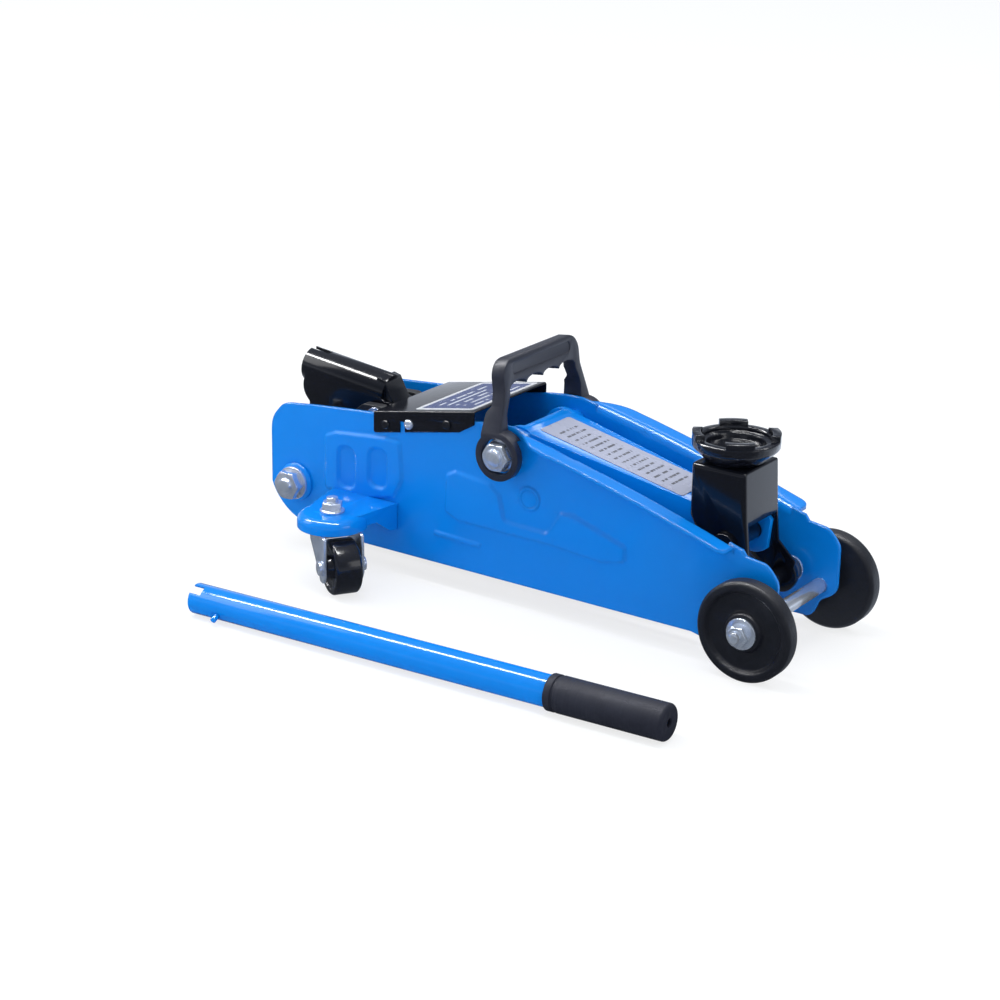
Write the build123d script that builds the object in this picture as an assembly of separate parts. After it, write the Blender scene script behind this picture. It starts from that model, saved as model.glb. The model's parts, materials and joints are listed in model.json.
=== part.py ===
from build123d import *
from math import atan2, cos, degrees, hypot, radians, sin, sqrt
import os

# Small trolley jack with its loose handle bar.  Millimetres, +Z up, +X towards the saddle end.
# The pieces are drawn from the floor point under the front axle, and the whole set is moved at
# the end so that the origin is the middle of its footprint on the floor.

# ---- overall sizes -------------------------------------------------------------------------
REAR_X = -401.5  # rear edge of the side plates
PLATE_FACE = 43.15  # outer face of each side plate, from the middle
SHEET = 2.5  # side plate sheet
FLANGE_EDGE = PLATE_FACE + 14.85  # free edge of the outward top flange
BEND = 6.5  # outer radius of that flange's bend
EMBOSS = 1.8  # height of the pressed panels
EMBOSS_SLOPE = 50.0  # degrees their sides lean in

# ---- front axle and wheels -----------------------------------------------------------------
AXLE_R = 5.25
WHEEL_R = 34.0
WHEEL_IN = PLATE_FACE + 7.55
WHEEL_OUT = WHEEL_IN + 12.9
RUN_GAP = 0.05  # radial clearance of every running fit
FACE_GAP = 0.4  # gap between faces that slide past each other

# ---- lifting linkage: arm A-B over levelling link D-C ---------------------------------------
A_X = -197.0
A_Z = 109.0
B_X = -38.0
B_Z = 73.0
D_X = -178.0
D_Z = 80.0
C_X = D_X + B_X - A_X
C_Z = D_Z + B_Z - A_Z
PIVOT_R = 6.0
RAM_CRANK = 50.0  # arm pivot to ram pin
RAM_CRANK_ANGLE = 32.0  # how far the ram pin starts behind straight down
ARM_REAR = 28.0  # half-width of the arm at its pivot
ARM_FRONT = 18.5  # half-width of the arm inside the saddle bracket
ARM_WALL = 4.0
ARM_SLOPE = 11.53  # degrees the arm's top falls towards the front
ARM_NOSE = 15.5
LINK_IN = 29.0
LINK_OUT = 33.0
LINK_HALF = 9.0

# ---- saddle and its bracket ----------------------------------------------------------------
SADDLE_X = -46.0
SADDLE_R = 29.1
SADDLE_TOP = 143.0
BRACKET_TOP = 123.9
BRACKET_REAR = -66.0
BRACKET_FRONT = -25.9
BRACKET_HALF = 22.9
BRACKET_WALL = 4.0

# ---- hydraulic unit ------------------------------------------------------------------------
RAM_Z = 62.9
RAM_R = 9.0
PISTON_R = 12.4
RESERVOIR_R = 23.0
BLOCK_FRONT = -338.0
BLOCK_REAR = -396.0
BLOCK_TOP = 80.0
RESERVOIR_FRONT = -240.0
BOLT_X = -378.5
BOLT_Z = 50.0
PLUNGER_X = -347.0
PLUNGER_R = 5.0
RELIEF_X = -378.0
RELIEF_Y = -28.0
VALVE_Z = 62.0
STOP_TOP = 109.2

# ---- handle socket -------------------------------------------------------------------------
SOCKET_PIVOT_X = -322.0
SOCKET_PIVOT_Z = 104.0
SOCKET_TILT = 6.3  # degrees it rises towards its open end
SOCKET_R = 12.9
BAR_R = 10.5  # handle bar tube
SOCKET_BORE_R = BAR_R + 0.25

# ---- carry handle --------------------------------------------------------------------------
HUB_R = 17.0
CARRY_LEAN = 7.5  # degrees it leans back
CARRY_TOP = 64.0  # above its pivot
CARRY_UNDER = 43.6  # underside of the grip above its pivot
CARRY_HALF = PLATE_FACE + 2.45  # half-width over the legs
CARRY_LEG = 6.0  # thickness of the legs
CARRY_CORNER = 13.0  # radius over the grip's ends

# ---- casters -------------------------------------------------------------------------------
CASTER_X = -314.0
CASTER_Y = PLATE_FACE + 40.85
CASTER_TOP = 53.0
CUP_R = 24.5
CUP_DEPTH = 10.0
CASTER_WHEEL_R = 19.5
CASTER_WHEEL_W = 19.0
CASTER_TRAIL = 19.0
CASTER_YAW = -33.0  # the way both casters trail, measured from +X

# ---- loose handle bar ----------------------------------------------------------------------
BAR_X = -352.6
BAR_Y = -182.2
BAR_LENGTH = 363.2
BAR_YAW = 2.4
GRIP_START = 279.9
GRIP_R = 12.1


# ---- helpers -------------------------------------------------------------------------------
def slab(outline, y_from, y_to):
    """Piece with an X-Z outline, between two Y planes."""
    face = Plane.XZ * outline
    return Pos(0, y_from, 0) * extrude(face, amount=y_to - y_from, dir=(0, 1, 0))


def rounded(points, radius):
    """Closed outline with straight sides and rounded corners."""
    return make_face(FilletPolyline(*points, radius=radius, close=True))


def disc(x, z, radius):
    """Round X-Z outline."""
    return Pos(x, z) * Circle(radius)


def bar_y(x, z, radius, y_from, y_to):
    """Round bar lying across the jack."""
    return Pos(x, (y_from + y_to) / 2, z) * Rot(90, 0, 0) * Cylinder(radius, y_to - y_from)


def bar_x(x_from, x_to, z, radius):
    """Round bar lying along the jack's middle."""
    return Pos((x_from + x_to) / 2, 0, z) * Rot(0, 90, 0) * Cylinder(radius, x_to - x_from)


def bar_z(x, y, z_from, z_to, radius):
    """Round upright bar."""
    return Pos(x, y, (z_from + z_to) / 2) * Cylinder(radius, z_to - z_from)


def hex_y(x, z, across, y_from, y_to):
    """Hexagon lying across the jack, its corners chamfered on the outer end."""
    outer = y_to if abs(y_to) > abs(y_from) else y_from
    body = slab(Pos(x, z) * RegularPolygon(across / 2, 6, major_radius=False), y_from, y_to)
    cone = bar_y(x, z, across * 0.57, y_from, y_to)
    rim = cone.edges().filter_by(GeomType.CIRCLE).sort_by(lambda e: abs(e.center().Y - outer))[:1]
    return body & chamfer(rim, 1.2)


def both_sides(piece):
    """The piece and its mirror image, as one node."""
    return Compound(children=[piece, mirror(piece, about=Plane.XZ)])


parts = {}

# ---- side plates ---------------------------------------------------------------------------
# The sloping top edge is one shallow arc, and the outward flange is revolved about its centre.
EDGE_REAR = (-192.0, 127.5)
EDGE_MIDDLE = (-108.0, 108.4)
EDGE_FRONT = (-18.0, 82.0)
top_edge = ThreePointArc(EDGE_REAR, EDGE_MIDDLE, EDGE_FRONT)
EDGE_CENTRE = top_edge.arc_center
EDGE_RADIUS = hypot(EDGE_REAR[0] - EDGE_CENTRE.X, EDGE_REAR[1] - EDGE_CENTRE.Y)

outline = Curve() + [
    Line((REAR_X, 46), (REAR_X, 84)),
    Spline((REAR_X, 84), (-399.5, 95), (-393.5, 103), (-384, 107.6), tangents=[(0, 1), (1, 0.12)]),
    Spline((-384, 107.6), (-310, 114.9), (-240, 122.4), (-214, 126.6), EDGE_REAR),
    top_edge,
    Polyline(EDGE_FRONT, (-14, 81), (-11, 77), (0, 75.5)),
    Spline((0, 75.5), (6, 72.6), (11, 66.8), (13, 60), tangents=[(1, -0.1), (0, -1)]),
    Line((13, 60), (13, 37.4)),
    Spline((13, 37.4), (9, 28.6), (0.5, 22.6), (-4.5, 12.7), (-10, 10.4)),
    Line((-10, 10.4), (-24, 10.4)),
    Spline((-24, 10.4), (-36, 13.6), (-49, 16.5)),
    Line((-49, 16.5), (-317, 16.5)),
    Spline((-317, 16.5), (-350, 18.3), (-380.6, 23.3), (-395, 34.6), (REAR_X, 46)),
]
sheet = slab(make_face(outline), -PLATE_FACE, -PLATE_FACE + SHEET)

# The bend takes the corner off the sheet's upper inner edge along the flange.
arc_disc = disc(EDGE_CENTRE.X, EDGE_CENTRE.Y, EDGE_RADIUS + 1)
arc_disc -= disc(EDGE_CENTRE.X, EDGE_CENTRE.Y, EDGE_RADIUS - BEND)
flange_window = Pos(-102, 105) * Rectangle(156, 90)
sheet -= slab(arc_disc & flange_window, -PLATE_FACE - 1, -PLATE_FACE + SHEET + 1)
bend_y = -PLATE_FACE + SHEET - BEND
section = Pos((bend_y - FLANGE_EDGE) / 2, -SHEET / 2) * Rectangle(FLANGE_EDGE + bend_y, SHEET)
ring = Circle(BEND) - Circle(BEND - SHEET)
section += Pos(bend_y, -BEND) * (ring & Pos(BEND / 2, BEND / 2) * Rectangle(BEND, BEND))
section_plane = Plane(
    origin=(EDGE_CENTRE.X, 0, EDGE_CENTRE.Y + EDGE_RADIUS), x_dir=(0, 1, 0), z_dir=(1, 0, 0)
)
flange = revolve(
    section_plane * section,
    axis=Axis((EDGE_CENTRE.X, 0, EDGE_CENTRE.Y), (0, 1, 0)),
    revolution_arc=360,
)
# In plan the flange widens behind the wheel well and has rounded free corners.
plan = make_face(
    Curve()
    + [
        Line((-190, -PLATE_FACE + SHEET), (-190, -PLATE_FACE)),
        Spline((-190, -PLATE_FACE), (-177, -FLANGE_EDGE + 7), (-160, -FLANGE_EDGE), tangents=[(1, -0.2), (1, -0.1)]),
        Line((-160, -FLANGE_EDGE), (-26, -FLANGE_EDGE)),
        ThreePointArc((-26, -FLANGE_EDGE), (-22, -FLANGE_EDGE + 1.5), (-20, -FLANGE_EDGE + 6)),
        Line((-20, -FLANGE_EDGE + 6), (-20, -PLATE_FACE + SHEET)),
        Line((-20, -PLATE_FACE + SHEET), (-190, -PLATE_FACE + SHEET)),
    ]
)
flange &= Pos(0, 0, 60) * extrude(plan, amount=90)
plate = sheet + flange

# Pressed panels stand proud of the outer face with sloping sides.
rear_panel = rounded(
    [(-353, 50), (-353, 91), (-343, 95.5), (-299, 100), (-285.5, 99), (-283, 71), (-291, 56), (-316, 50)], 4
)
front_panel = rounded(
    [
        (-248, 56), (-247, 84), (-239, 88), (-210, 85), (-201, 78), (-197, 61), (-163, 60), (-153, 77),
        (-142, 77), (-100, 64), (-100, 52), (-118, 47.5), (-160, 50.5), (-201, 50.5), (-236, 51),
    ],
    4,
)
lower_bead = rounded([(-257, 36.5), (-257, 40.5), (-217, 39.5), (-217, 35.5)], 1.9)
pin_boss = disc(D_X, D_Z, 8.5)
for panel, height in ((rear_panel, EMBOSS), (front_panel, EMBOSS), (lower_bead, 0.9)):
    raised = Plane.XZ * panel
    raised = extrude(raised, amount=height, dir=(0, -1, 0), taper=EMBOSS_SLOPE)
    plate += Pos(0, -PLATE_FACE, 0) * raised
rib_rear = rounded([(-341, 54), (-341, 86), (-324, 88), (-324, 54)], 7)
rib_front = rounded([(-314, 60), (-314, 90), (-296, 92), (-296, 60)], 7)
for rib in (rib_rear, rib_front):
    hollow = Plane.XZ * rib
    cutter = extrude(hollow, amount=-EMBOSS, taper=EMBOSS_SLOPE)
    plate -= Pos(0, -PLATE_FACE - EMBOSS, 0) * cutter
plate += slab(pin_boss, -PLATE_FACE - 0.8, -PLATE_FACE)
for x, z, radius in (
    (0, 34, AXLE_R), (A_X, A_Z, PIVOT_R), (D_X, D_Z, PIVOT_R), (BOLT_X, BOLT_Z, 6.0)
):
    plate -= bar_y(x, z, radius, -PLATE_FACE - 3, -PLATE_FACE + SHEET + 1)
parts["side_plate_right"] = plate
parts["side_plate_left"] = mirror(plate, about=Plane.XZ)

# ---- front axle ----------------------------------------------------------------------------
axle = bar_y(0, 34, AXLE_R, -WHEEL_OUT - FACE_GAP, WHEEL_OUT + FACE_GAP)
axle += bar_y(0, 34, 4.0, -WHEEL_OUT - 11.5, WHEEL_OUT + 11.5)
parts["front_axle"] = axle
spacer = bar_y(0, 34, 8.5, -WHEEL_IN + FACE_GAP, -PLATE_FACE) - bar_y(0, 34, AXLE_R, -WHEEL_OUT, 0)
parts["axle_spacers"] = both_sides(spacer)
washer_face = -WHEEL_OUT - FACE_GAP
washer = bar_y(0, 34, 10.5, washer_face - 1.6, washer_face) - bar_y(0, 34, 4.0, 2 * washer_face, 0)
parts["axle_washers"] = both_sides(washer)
nut = hex_y(0, 34, 13.0, washer_face - 8.1, washer_face - 1.6) - bar_y(0, 34, 4.0, 2 * washer_face, 0)
parts["axle_nuts"] = both_sides(nut)

# Cast wheel: solid tread, dished outer face, raised hub.
half = (WHEEL_OUT - WHEEL_IN) / 2
wheel_section = make_face(
    Polyline(
        (AXLE_R + RUN_GAP, -half),
        (WHEEL_R - 2.0, -half),
        (WHEEL_R, -half + 2.0),
        (WHEEL_R, half - 2.0),
        (WHEEL_R - 2.0, half),
        (WHEEL_R - 6.0, half),
        (WHEEL_R - 8.0, half - 3.6),
        (14.0, half - 3.6),
        (12.5, half),
        (AXLE_R + RUN_GAP, half),
        close=True,
    )
)
wheel = revolve(Plane.XZ * wheel_section, axis=Axis.Z)
wheel = Rot(90, 0, 0) * wheel
parts["front_wheel_right"] = Pos(0, -(WHEEL_IN + WHEEL_OUT) / 2, 34) * wheel
parts["front_wheel_left"] = mirror(parts["front_wheel_right"], about=Plane.XZ)

# ---- lift arm ------------------------------------------------------------------------------
ram_pin_x = A_X - RAM_CRANK * sin(radians(RAM_CRANK_ANGLE))
ram_pin_z = A_Z - RAM_CRANK * cos(radians(RAM_CRANK_ANGLE))


def arm_top(x):
    """Height of the arm's top at x."""
    return 120.3 - (x + 187.7) * sin(radians(ARM_SLOPE)) / cos(radians(ARM_SLOPE))


side = rounded(
    [
        (-199, arm_top(-199)),
        (-44, arm_top(-44)),
        (-34, 76),
        (-34, 60),
        (-48, 57.6),
        (-120, 72),
        (-182, 84),
        (ram_pin_x + 11, ram_pin_z - 4),
        (ram_pin_x - 4, ram_pin_z - 11),
        (ram_pin_x - 11.5, ram_pin_z + 2),
        (-210, 104),
    ],
    2.5,
)
side += disc(A_X, A_Z, 14.5) + disc(B_X, B_Z, ARM_NOSE) + disc(ram_pin_x, ram_pin_z, 12)
# In plan the channel keeps its rear width past the pivot, then tapers to fit in the bracket.
plan_arm = make_face(
    Polyline(
        (-260, -ARM_REAR), (-178, -ARM_REAR), (-70, -ARM_FRONT), (0, -ARM_FRONT),
        (0, ARM_FRONT), (-70, ARM_FRONT), (-178, ARM_REAR), (-260, ARM_REAR), close=True,
    )
)
plan_hollow = make_face(
    Polyline(
        (-260, -ARM_REAR + ARM_WALL), (-178, -ARM_REAR + ARM_WALL), (-70, -ARM_FRONT + ARM_WALL),
        (0, -ARM_FRONT + ARM_WALL), (0, ARM_FRONT - ARM_WALL), (-70, ARM_FRONT - ARM_WALL),
        (-178, ARM_REAR - ARM_WALL), (-260, ARM_REAR - ARM_WALL), close=True,
    )
)
arm = slab(side, -ARM_REAR, ARM_REAR) & extrude(plan_arm, amount=200)
below_top = make_face(
    Polyline(
        (-270, arm_top(-270) - ARM_WALL), (10, arm_top(10) - ARM_WALL), (10, 0), (-270, 0), close=True
    )
)
arm -= slab(below_top, -60, 60) & extrude(plan_hollow, amount=200)
# The top sheet stops behind the bracket's front wall and ahead of the pivot's hub.
arm -= Pos(-22, 0, 88) * Box(44, 2 * (ARM_FRONT - ARM_WALL), 40)
arm -= Pos(-208, 0, 120) * Box(24, 2 * (ARM_REAR - ARM_WALL), 40)
# The cheeks end in a straight slanted edge in front of the bracket pin.
nose_cut = make_face(
    Polyline(
        (B_X + 13.5, B_Z + 18), (B_X + 9.5, B_Z - 20), (B_X + 40, B_Z - 20), (B_X + 40, B_Z + 18), close=True
    )
)
arm -= slab(nose_cut, -30, 30)
arm += bar_y(A_X, A_Z, 10.0, -ARM_REAR, ARM_REAR)
arm -= bar_y(A_X, A_Z, PIVOT_R + RUN_GAP, -40, 40)
arm -= bar_y(B_X, B_Z, PIVOT_R + RUN_GAP, -40, 40)
arm -= bar_y(ram_pin_x, ram_pin_z, PIVOT_R, -40, 40)
parts["lift_arm"] = arm

label_x = -131.1
label = Pos(label_x, 0, arm_top(label_x)) * Rot(0, ARM_SLOPE, 0) * Pos(0, 0, 0.25) * Box(115.5, 35.6, 0.5)
parts["arm_label"] = fillet(label.edges().filter_by(lambda e: abs(e.length - 0.5) < 0.01), 2.5)
ram_pin = bar_y(ram_pin_x, ram_pin_z, PIVOT_R, -ARM_REAR, ARM_REAR)
parts["ram_pin"] = ram_pin
pin_spacer = bar_y(ram_pin_x, ram_pin_z, 9.0, -ARM_REAR + ARM_WALL, -14.0) - ram_pin
parts["ram_pin_spacers"] = both_sides(pin_spacer)

washer_in = PLATE_FACE + 5.45
washer_out = washer_in + 1.6
nut_out = washer_out + 8.4
shaft = bar_y(A_X, A_Z, PIVOT_R, -nut_out - 1.9, nut_out + 1.9)
parts["arm_shaft"] = shaft
arm_spacer = bar_y(A_X, A_Z, 9.5, -PLATE_FACE + SHEET, -ARM_REAR - FACE_GAP) - shaft
parts["arm_shaft_spacers"] = both_sides(arm_spacer)
parts["arm_shaft_washers"] = both_sides(bar_y(A_X, A_Z, 11.5, -washer_out, -washer_in) - shaft)
parts["arm_shaft_nuts"] = both_sides(hex_y(A_X, A_Z, 18.0, -nut_out, -washer_out) - shaft)

# ---- saddle bracket ------------------------------------------------------------------------
bracket_side = rounded(
    [
        (BRACKET_REAR, BRACKET_TOP), (BRACKET_FRONT, BRACKET_TOP), (-24.0, 92), (-21.5, 68),
        (-8.0, 55), (C_X + 8, C_Z), (C_X - 9, C_Z - 2), (-54, 66), (BRACKET_REAR, 88),
    ],
    1.5,
)
bracket_side += disc(C_X, C_Z, 12) + disc(B_X, B_Z, 14)
bracket = slab(bracket_side, -BRACKET_HALF, BRACKET_HALF)
inner_half = BRACKET_HALF - BRACKET_WALL
bracket_gap = make_face(
    Polyline(
        (-90, 0), (-90, BRACKET_TOP - BRACKET_WALL), (BRACKET_FRONT - BRACKET_WALL, BRACKET_TOP - BRACKET_WALL),
        (BRACKET_FRONT - BRACKET_WALL, 87.4), (10, 87.4), (10, 0), close=True,
    )
)
bracket -= slab(bracket_gap, -inner_half, inner_half)
long_edges = bracket.edges().filter_by(Axis.X).filter_by(lambda e: e.center().Z > BRACKET_TOP - 0.1)
bracket = fillet(long_edges, 3.2)
bracket -= bar_y(B_X, B_Z, PIVOT_R, -40, 40)
bracket -= bar_y(C_X, C_Z, PIVOT_R, -40, 40)
bracket -= bar_z(SADDLE_X, 0, 100, 130, 9.0 + RUN_GAP)
parts["saddle_bracket"] = bracket

head_pin = bar_y(B_X, B_Z, PIVOT_R, -BRACKET_HALF - 3.6, BRACKET_HALF + 3.6)
head_pin += bar_y(B_X, B_Z, 8.5, -BRACKET_HALF - 3.6, -BRACKET_HALF)
parts["bracket_pin"] = head_pin
clip = bar_y(B_X, B_Z, 9.0, BRACKET_HALF, BRACKET_HALF + 1.6)
clip -= bar_y(B_X, B_Z, PIVOT_R, 0, 60)
link_pin = bar_y(C_X, C_Z, PIVOT_R, -LINK_OUT - 3.2, LINK_OUT + 3.2)
parts["link_pin"] = link_pin
link_spacer = bar_y(C_X, C_Z, 9.0, -LINK_IN + FACE_GAP, -BRACKET_HALF) - link_pin
parts["link_pin_spacers"] = both_sides(link_spacer)
link_clip = bar_y(C_X, C_Z, 9.0, -LINK_OUT - 2.2, -LINK_OUT - FACE_GAP) - link_pin
parts["bracket_pin_clips"] = Compound(children=[clip, *both_sides(link_clip).solids()])

# ---- levelling links -----------------------------------------------------------------------
link_length = hypot(C_X - D_X, C_Z - D_Z)
link_angle = degrees(atan2(C_Z - D_Z, C_X - D_X))
link_outline = Pos((D_X + C_X) / 2, (D_Z + C_Z) / 2) * Rot(0, 0, link_angle) * SlotCenterToCenter(
    link_length, 2 * LINK_HALF
)
link = slab(link_outline, -LINK_OUT, -LINK_IN)
for x, z in ((D_X, D_Z), (C_X, C_Z)):
    link -= bar_y(x, z, PIVOT_R + RUN_GAP, -60, 0)
parts["levelling_links"] = both_sides(link)
anchor = bar_y(D_X, D_Z, PIVOT_R, -PLATE_FACE - 0.8, -LINK_IN + FACE_GAP)
anchor += bar_y(D_X, D_Z, 9.0, -PLATE_FACE + SHEET, -LINK_OUT - FACE_GAP)
parts["link_anchor_pins"] = both_sides(anchor)

# ---- saddle --------------------------------------------------------------------------------
seat = BRACKET_TOP + 0.35
ring_top = SADDLE_TOP - 3.6
saddle_section = make_face(
    Polyline(
        (0, seat - 12.0), (9.0, seat - 12.0), (9.0, seat), (19.5, seat), (SADDLE_R - 1.0, seat + 8.5),
        (SADDLE_R, seat + 10.0), (SADDLE_R, ring_top - 0.8), (SADDLE_R - 0.8, ring_top),
        (SADDLE_R - 5.5, ring_top), (SADDLE_R - 6.3, ring_top - 1.0), (SADDLE_R - 6.3, ring_top - 3.0),
        (SADDLE_R - 9.5, ring_top - 3.6), (SADDLE_R - 10.5, ring_top - 7.4), (0, ring_top - 7.8), close=True,
    )
)
saddle = Pos(SADDLE_X, 0, 0) * revolve(Plane.XZ * saddle_section, axis=Axis.Z)
tab_ring = Circle(SADDLE_R) - Circle(SADDLE_R - 5.6)
for turn in (35, 125, 215, 305):
    wedge = Rot(0, 0, turn) * Pos(SADDLE_R, 0) * Rectangle(2 * SADDLE_R, 19)
    tab = Pos(SADDLE_X, 0, ring_top - 0.5) * extrude(tab_ring & wedge, amount=SADDLE_TOP - ring_top + 0.5)
    saddle += tab
saddle -= Pos(SADDLE_X, 0, 0) * (bar_z(0, 0, seat - 6.6, seat - 5.0, 10) - bar_z(0, 0, 0, 200, 7.6))
parts["saddle"] = saddle
stem_clip = bar_z(SADDLE_X, 0, seat - 6.5, seat - 5.1, 12.0) - bar_z(SADDLE_X, 0, 100, 140, 7.6)
stem_clip -= Pos(SADDLE_X - 10, 0, seat - 5.8) * Box(20, 7, 3)
parts["saddle_clip"] = stem_clip

# ---- hydraulic unit ------------------------------------------------------------------------
block_width = 2 * (PLATE_FACE - SHEET)
block_side = rounded(
    [
        (BLOCK_REAR, BLOCK_TOP), (BLOCK_FRONT, BLOCK_TOP), (BLOCK_FRONT, 24), (-370, 24), (-386, 34),
        (BLOCK_REAR, 48),
    ],
    3,
)
block = slab(block_side, -block_width / 2, block_width / 2)
ear_outline = rounded(
    [
        (BLOCK_FRONT - 30, 72), (BLOCK_FRONT - 30, 82), (-334, 112), (-316, 113), (-313, 96), (-330, 72),
    ],
    5,
)
block += slab(ear_outline, -24, -17)
block += slab(ear_outline, 17, 24)
block += Pos(-388, 0, 90) * Box(12, 18, STOP_TOP * 2 - 180)
block += bar_z(PLUNGER_X, 0, 78, 84, 11)
for side_sign in (-1, 1):
    block -= bar_y(BOLT_X, BOLT_Z, 6.0, *sorted((side_sign * 18, side_sign * 60)))
block -= bar_z(PLUNGER_X, 0, 58, 90, PLUNGER_R + RUN_GAP)
block -= bar_y(SOCKET_PIVOT_X, SOCKET_PIVOT_Z, 5.0, -40, 40)
block -= bar_x(BLOCK_FRONT, RESERVOIR_FRONT, RAM_Z, RESERVOIR_R)
block -= bar_x(BLOCK_REAR - 10, -374, VALVE_Z, 4.0 + RUN_GAP)
block -= bar_z(RELIEF_X, RELIEF_Y, 74, 90, 5.0)
parts["pump_block"] = block

tube = bar_x(BLOCK_FRONT, RESERVOIR_FRONT - 10, RAM_Z, RESERVOIR_R)
tube -= bar_x(BLOCK_FRONT - 3, RESERVOIR_FRONT, RAM_Z, RESERVOIR_R - 2.5)
tube -= bar_z(-292, 0, 70, 100, 5.0)
parts["reservoir_tube"] = tube
cylinder = bar_x(BLOCK_FRONT, RESERVOIR_FRONT - 10, RAM_Z, 16.0)
cylinder -= bar_x(BLOCK_FRONT - 3, RESERVOIR_FRONT, RAM_Z, PISTON_R + RUN_GAP)
parts["ram_cylinder"] = cylinder
gland = bar_x(RESERVOIR_FRONT - 10, RESERVOIR_FRONT, RAM_Z, RESERVOIR_R)
gland = chamfer(gland.edges().filter_by(GeomType.CIRCLE).sort_by(Axis.X)[-1:], 2)
gland -= bar_x(RESERVOIR_FRONT - 12, RESERVOIR_FRONT + 1, RAM_Z, RAM_R + RUN_GAP)
parts["gland_nut"] = gland
plug = bar_z(-292, 0, RAM_Z + RESERVOIR_R - 3.5, RAM_Z + RESERVOIR_R + 1, 5.0)
plug += bar_z(-292, 0, RAM_Z + RESERVOIR_R + 0.2, RAM_Z + RESERVOIR_R + 3, 7.0)
parts["filler_plug"] = plug

rod = bar_x(BLOCK_FRONT + 4, ram_pin_x - 14.5, RAM_Z, RAM_R)
rod += bar_x(BLOCK_FRONT + 2, BLOCK_FRONT + 12, RAM_Z, PISTON_R)
parts["ram_rod"] = rod
head_face = ram_pin_x - 14.5
yoke = Pos((head_face + ram_pin_x + 12.5) / 2, 0, 62.5) * Box(ram_pin_x + 12.5 - head_face, 26, 35)
yoke = chamfer(yoke.edges().filter_by(Axis.Y), 3)
slot = Pos(ram_pin_x, 62.9) * Rot(0, 0, 90) * SlotOverall(26, 2 * (PIVOT_R + 1.0))
yoke -= slab(slot, -20, 20)
parts["ram_yoke"] = yoke

plunger = bar_z(PLUNGER_X, 0, 60.5, 96.6, PLUNGER_R)
plunger += bar_z(PLUNGER_X, 0, 93.8, 96.6, 8.5)
parts["pump_plunger"] = plunger
coil = Helix(pitch=2.1, height=8.4, radius=7.2, center=(PLUNGER_X, 0, 84.7))
wire = Plane(origin=coil @ 0, z_dir=coil % 0) * Circle(0.65)
parts["plunger_spring"] = sweep(wire, path=coil, is_frenet=True)

# Release valve: a screw with a cross pin that the slotted end of the bar turns.
valve = bar_x(-402, -375, VALVE_Z, 4.0)
valve += bar_x(-404.0, -398.0, VALVE_Z, 6.5)
valve += bar_y(-401.0, VALVE_Z, 2.0, -10, 10)
parts["release_valve"] = valve
plug_body = bar_z(RELIEF_X, RELIEF_Y, 74, 84, 5.0)
plug_body += Pos(RELIEF_X, RELIEF_Y, 80) * extrude(RegularPolygon(6.5, 6, major_radius=False), amount=11)
plug_body += bar_z(RELIEF_X, RELIEF_Y, 90, 99, 4.5)
parts["relief_valve_plug"] = plug_body

seat_ring = bar_y(BOLT_X, BOLT_Z, 14.0, -PLATE_FACE - 3.3, -PLATE_FACE)
seat_ring = chamfer(seat_ring.edges().filter_by(GeomType.CIRCLE).sort_by(Axis.Y)[:1], 1.5)
parts["bolt_seats"] = both_sides(seat_ring - bar_y(BOLT_X, BOLT_Z, 6.0, -PLATE_FACE - 10, 0))
bolt_washer = bar_y(BOLT_X, BOLT_Z, 12.0, -PLATE_FACE - 5.6, -PLATE_FACE - 3.3)
parts["bolt_washers"] = both_sides(bolt_washer - bar_y(BOLT_X, BOLT_Z, 6.0, -PLATE_FACE - 10, 0))
bolt = hex_y(BOLT_X, BOLT_Z, 19.0, -PLATE_FACE - 13.4, -PLATE_FACE - 5.6)
bolt += bar_y(BOLT_X, BOLT_Z, 6.0, -PLATE_FACE - 8, -18.5)
parts["pump_bolts"] = both_sides(bolt)

# ---- handle socket -------------------------------------------------------------------------
# Drawn level along -X from its pivot, then tilted: a tube with a skirt on each side that runs
# down to the pivot in front and to a rounded foot at the rear.
axis_above = 11.9
socket = Pos(-41.5, 0, axis_above) * Rot(0, 90, 0) * Cylinder(SOCKET_R, 73)
skirt = make_face(
    Curve()
    + [
        Line((-74, axis_above), (-75, 2)),
        Spline((-75, 2), (-73, -6), (-66, -12.5), (-57, -15.5), tangents=[(0, -1), (1, -0.1)]),
        Line((-57, -15.5), (-50, -15.5)),
        Spline((-50, -15.5), (-38, -12.5), (-20, -9), (-6, -8.5)),
        Spline((-6, -8.5), (2, -8.5), (8, -3), (7, 5), (0, 8.5)),
        Spline((0, 8.5), (-6, 10), (-9, axis_above)),
        Line((-9, axis_above), (-74, axis_above)),
    ]
)
socket += slab(skirt, -SOCKET_R, SOCKET_R) - slab(skirt, -SOCKET_R + 2.6, SOCKET_R - 2.6)
socket += bar_y(-25, -1, 6.0, -SOCKET_R, SOCKET_R)
socket += slab(rounded([(-30, -4), (-30, 8), (-20, 8), (-20, -4)], 1), -SOCKET_R, SOCKET_R)
socket += bar_y(0, 0, 8.0, -SOCKET_R, SOCKET_R)
socket += slab(rounded([(-13, 23.5), (-6, 22.5), (-1, 15), (5, 7), (5.5, 0), (-8, -4), (-13, 4)], 1.5), -9.5, 9.5)
socket -= Pos(-50, 0, axis_above) * Rot(0, 90, 0) * Cylinder(SOCKET_BORE_R, 72)
socket -= Pos(-72, 0, axis_above + 10) * Box(20, 5.4, 14)
socket -= bar_y(0, 0, 5.0 + RUN_GAP, -30, 30)
socket = Pos(SOCKET_PIVOT_X, 0, SOCKET_PIVOT_Z) * Rot(0, SOCKET_TILT, 0) * socket
parts["handle_socket"] = socket
parts["socket_pin"] = bar_y(SOCKET_PIVOT_X, SOCKET_PIVOT_Z, 5.0, -26.5, 26.5)
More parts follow.
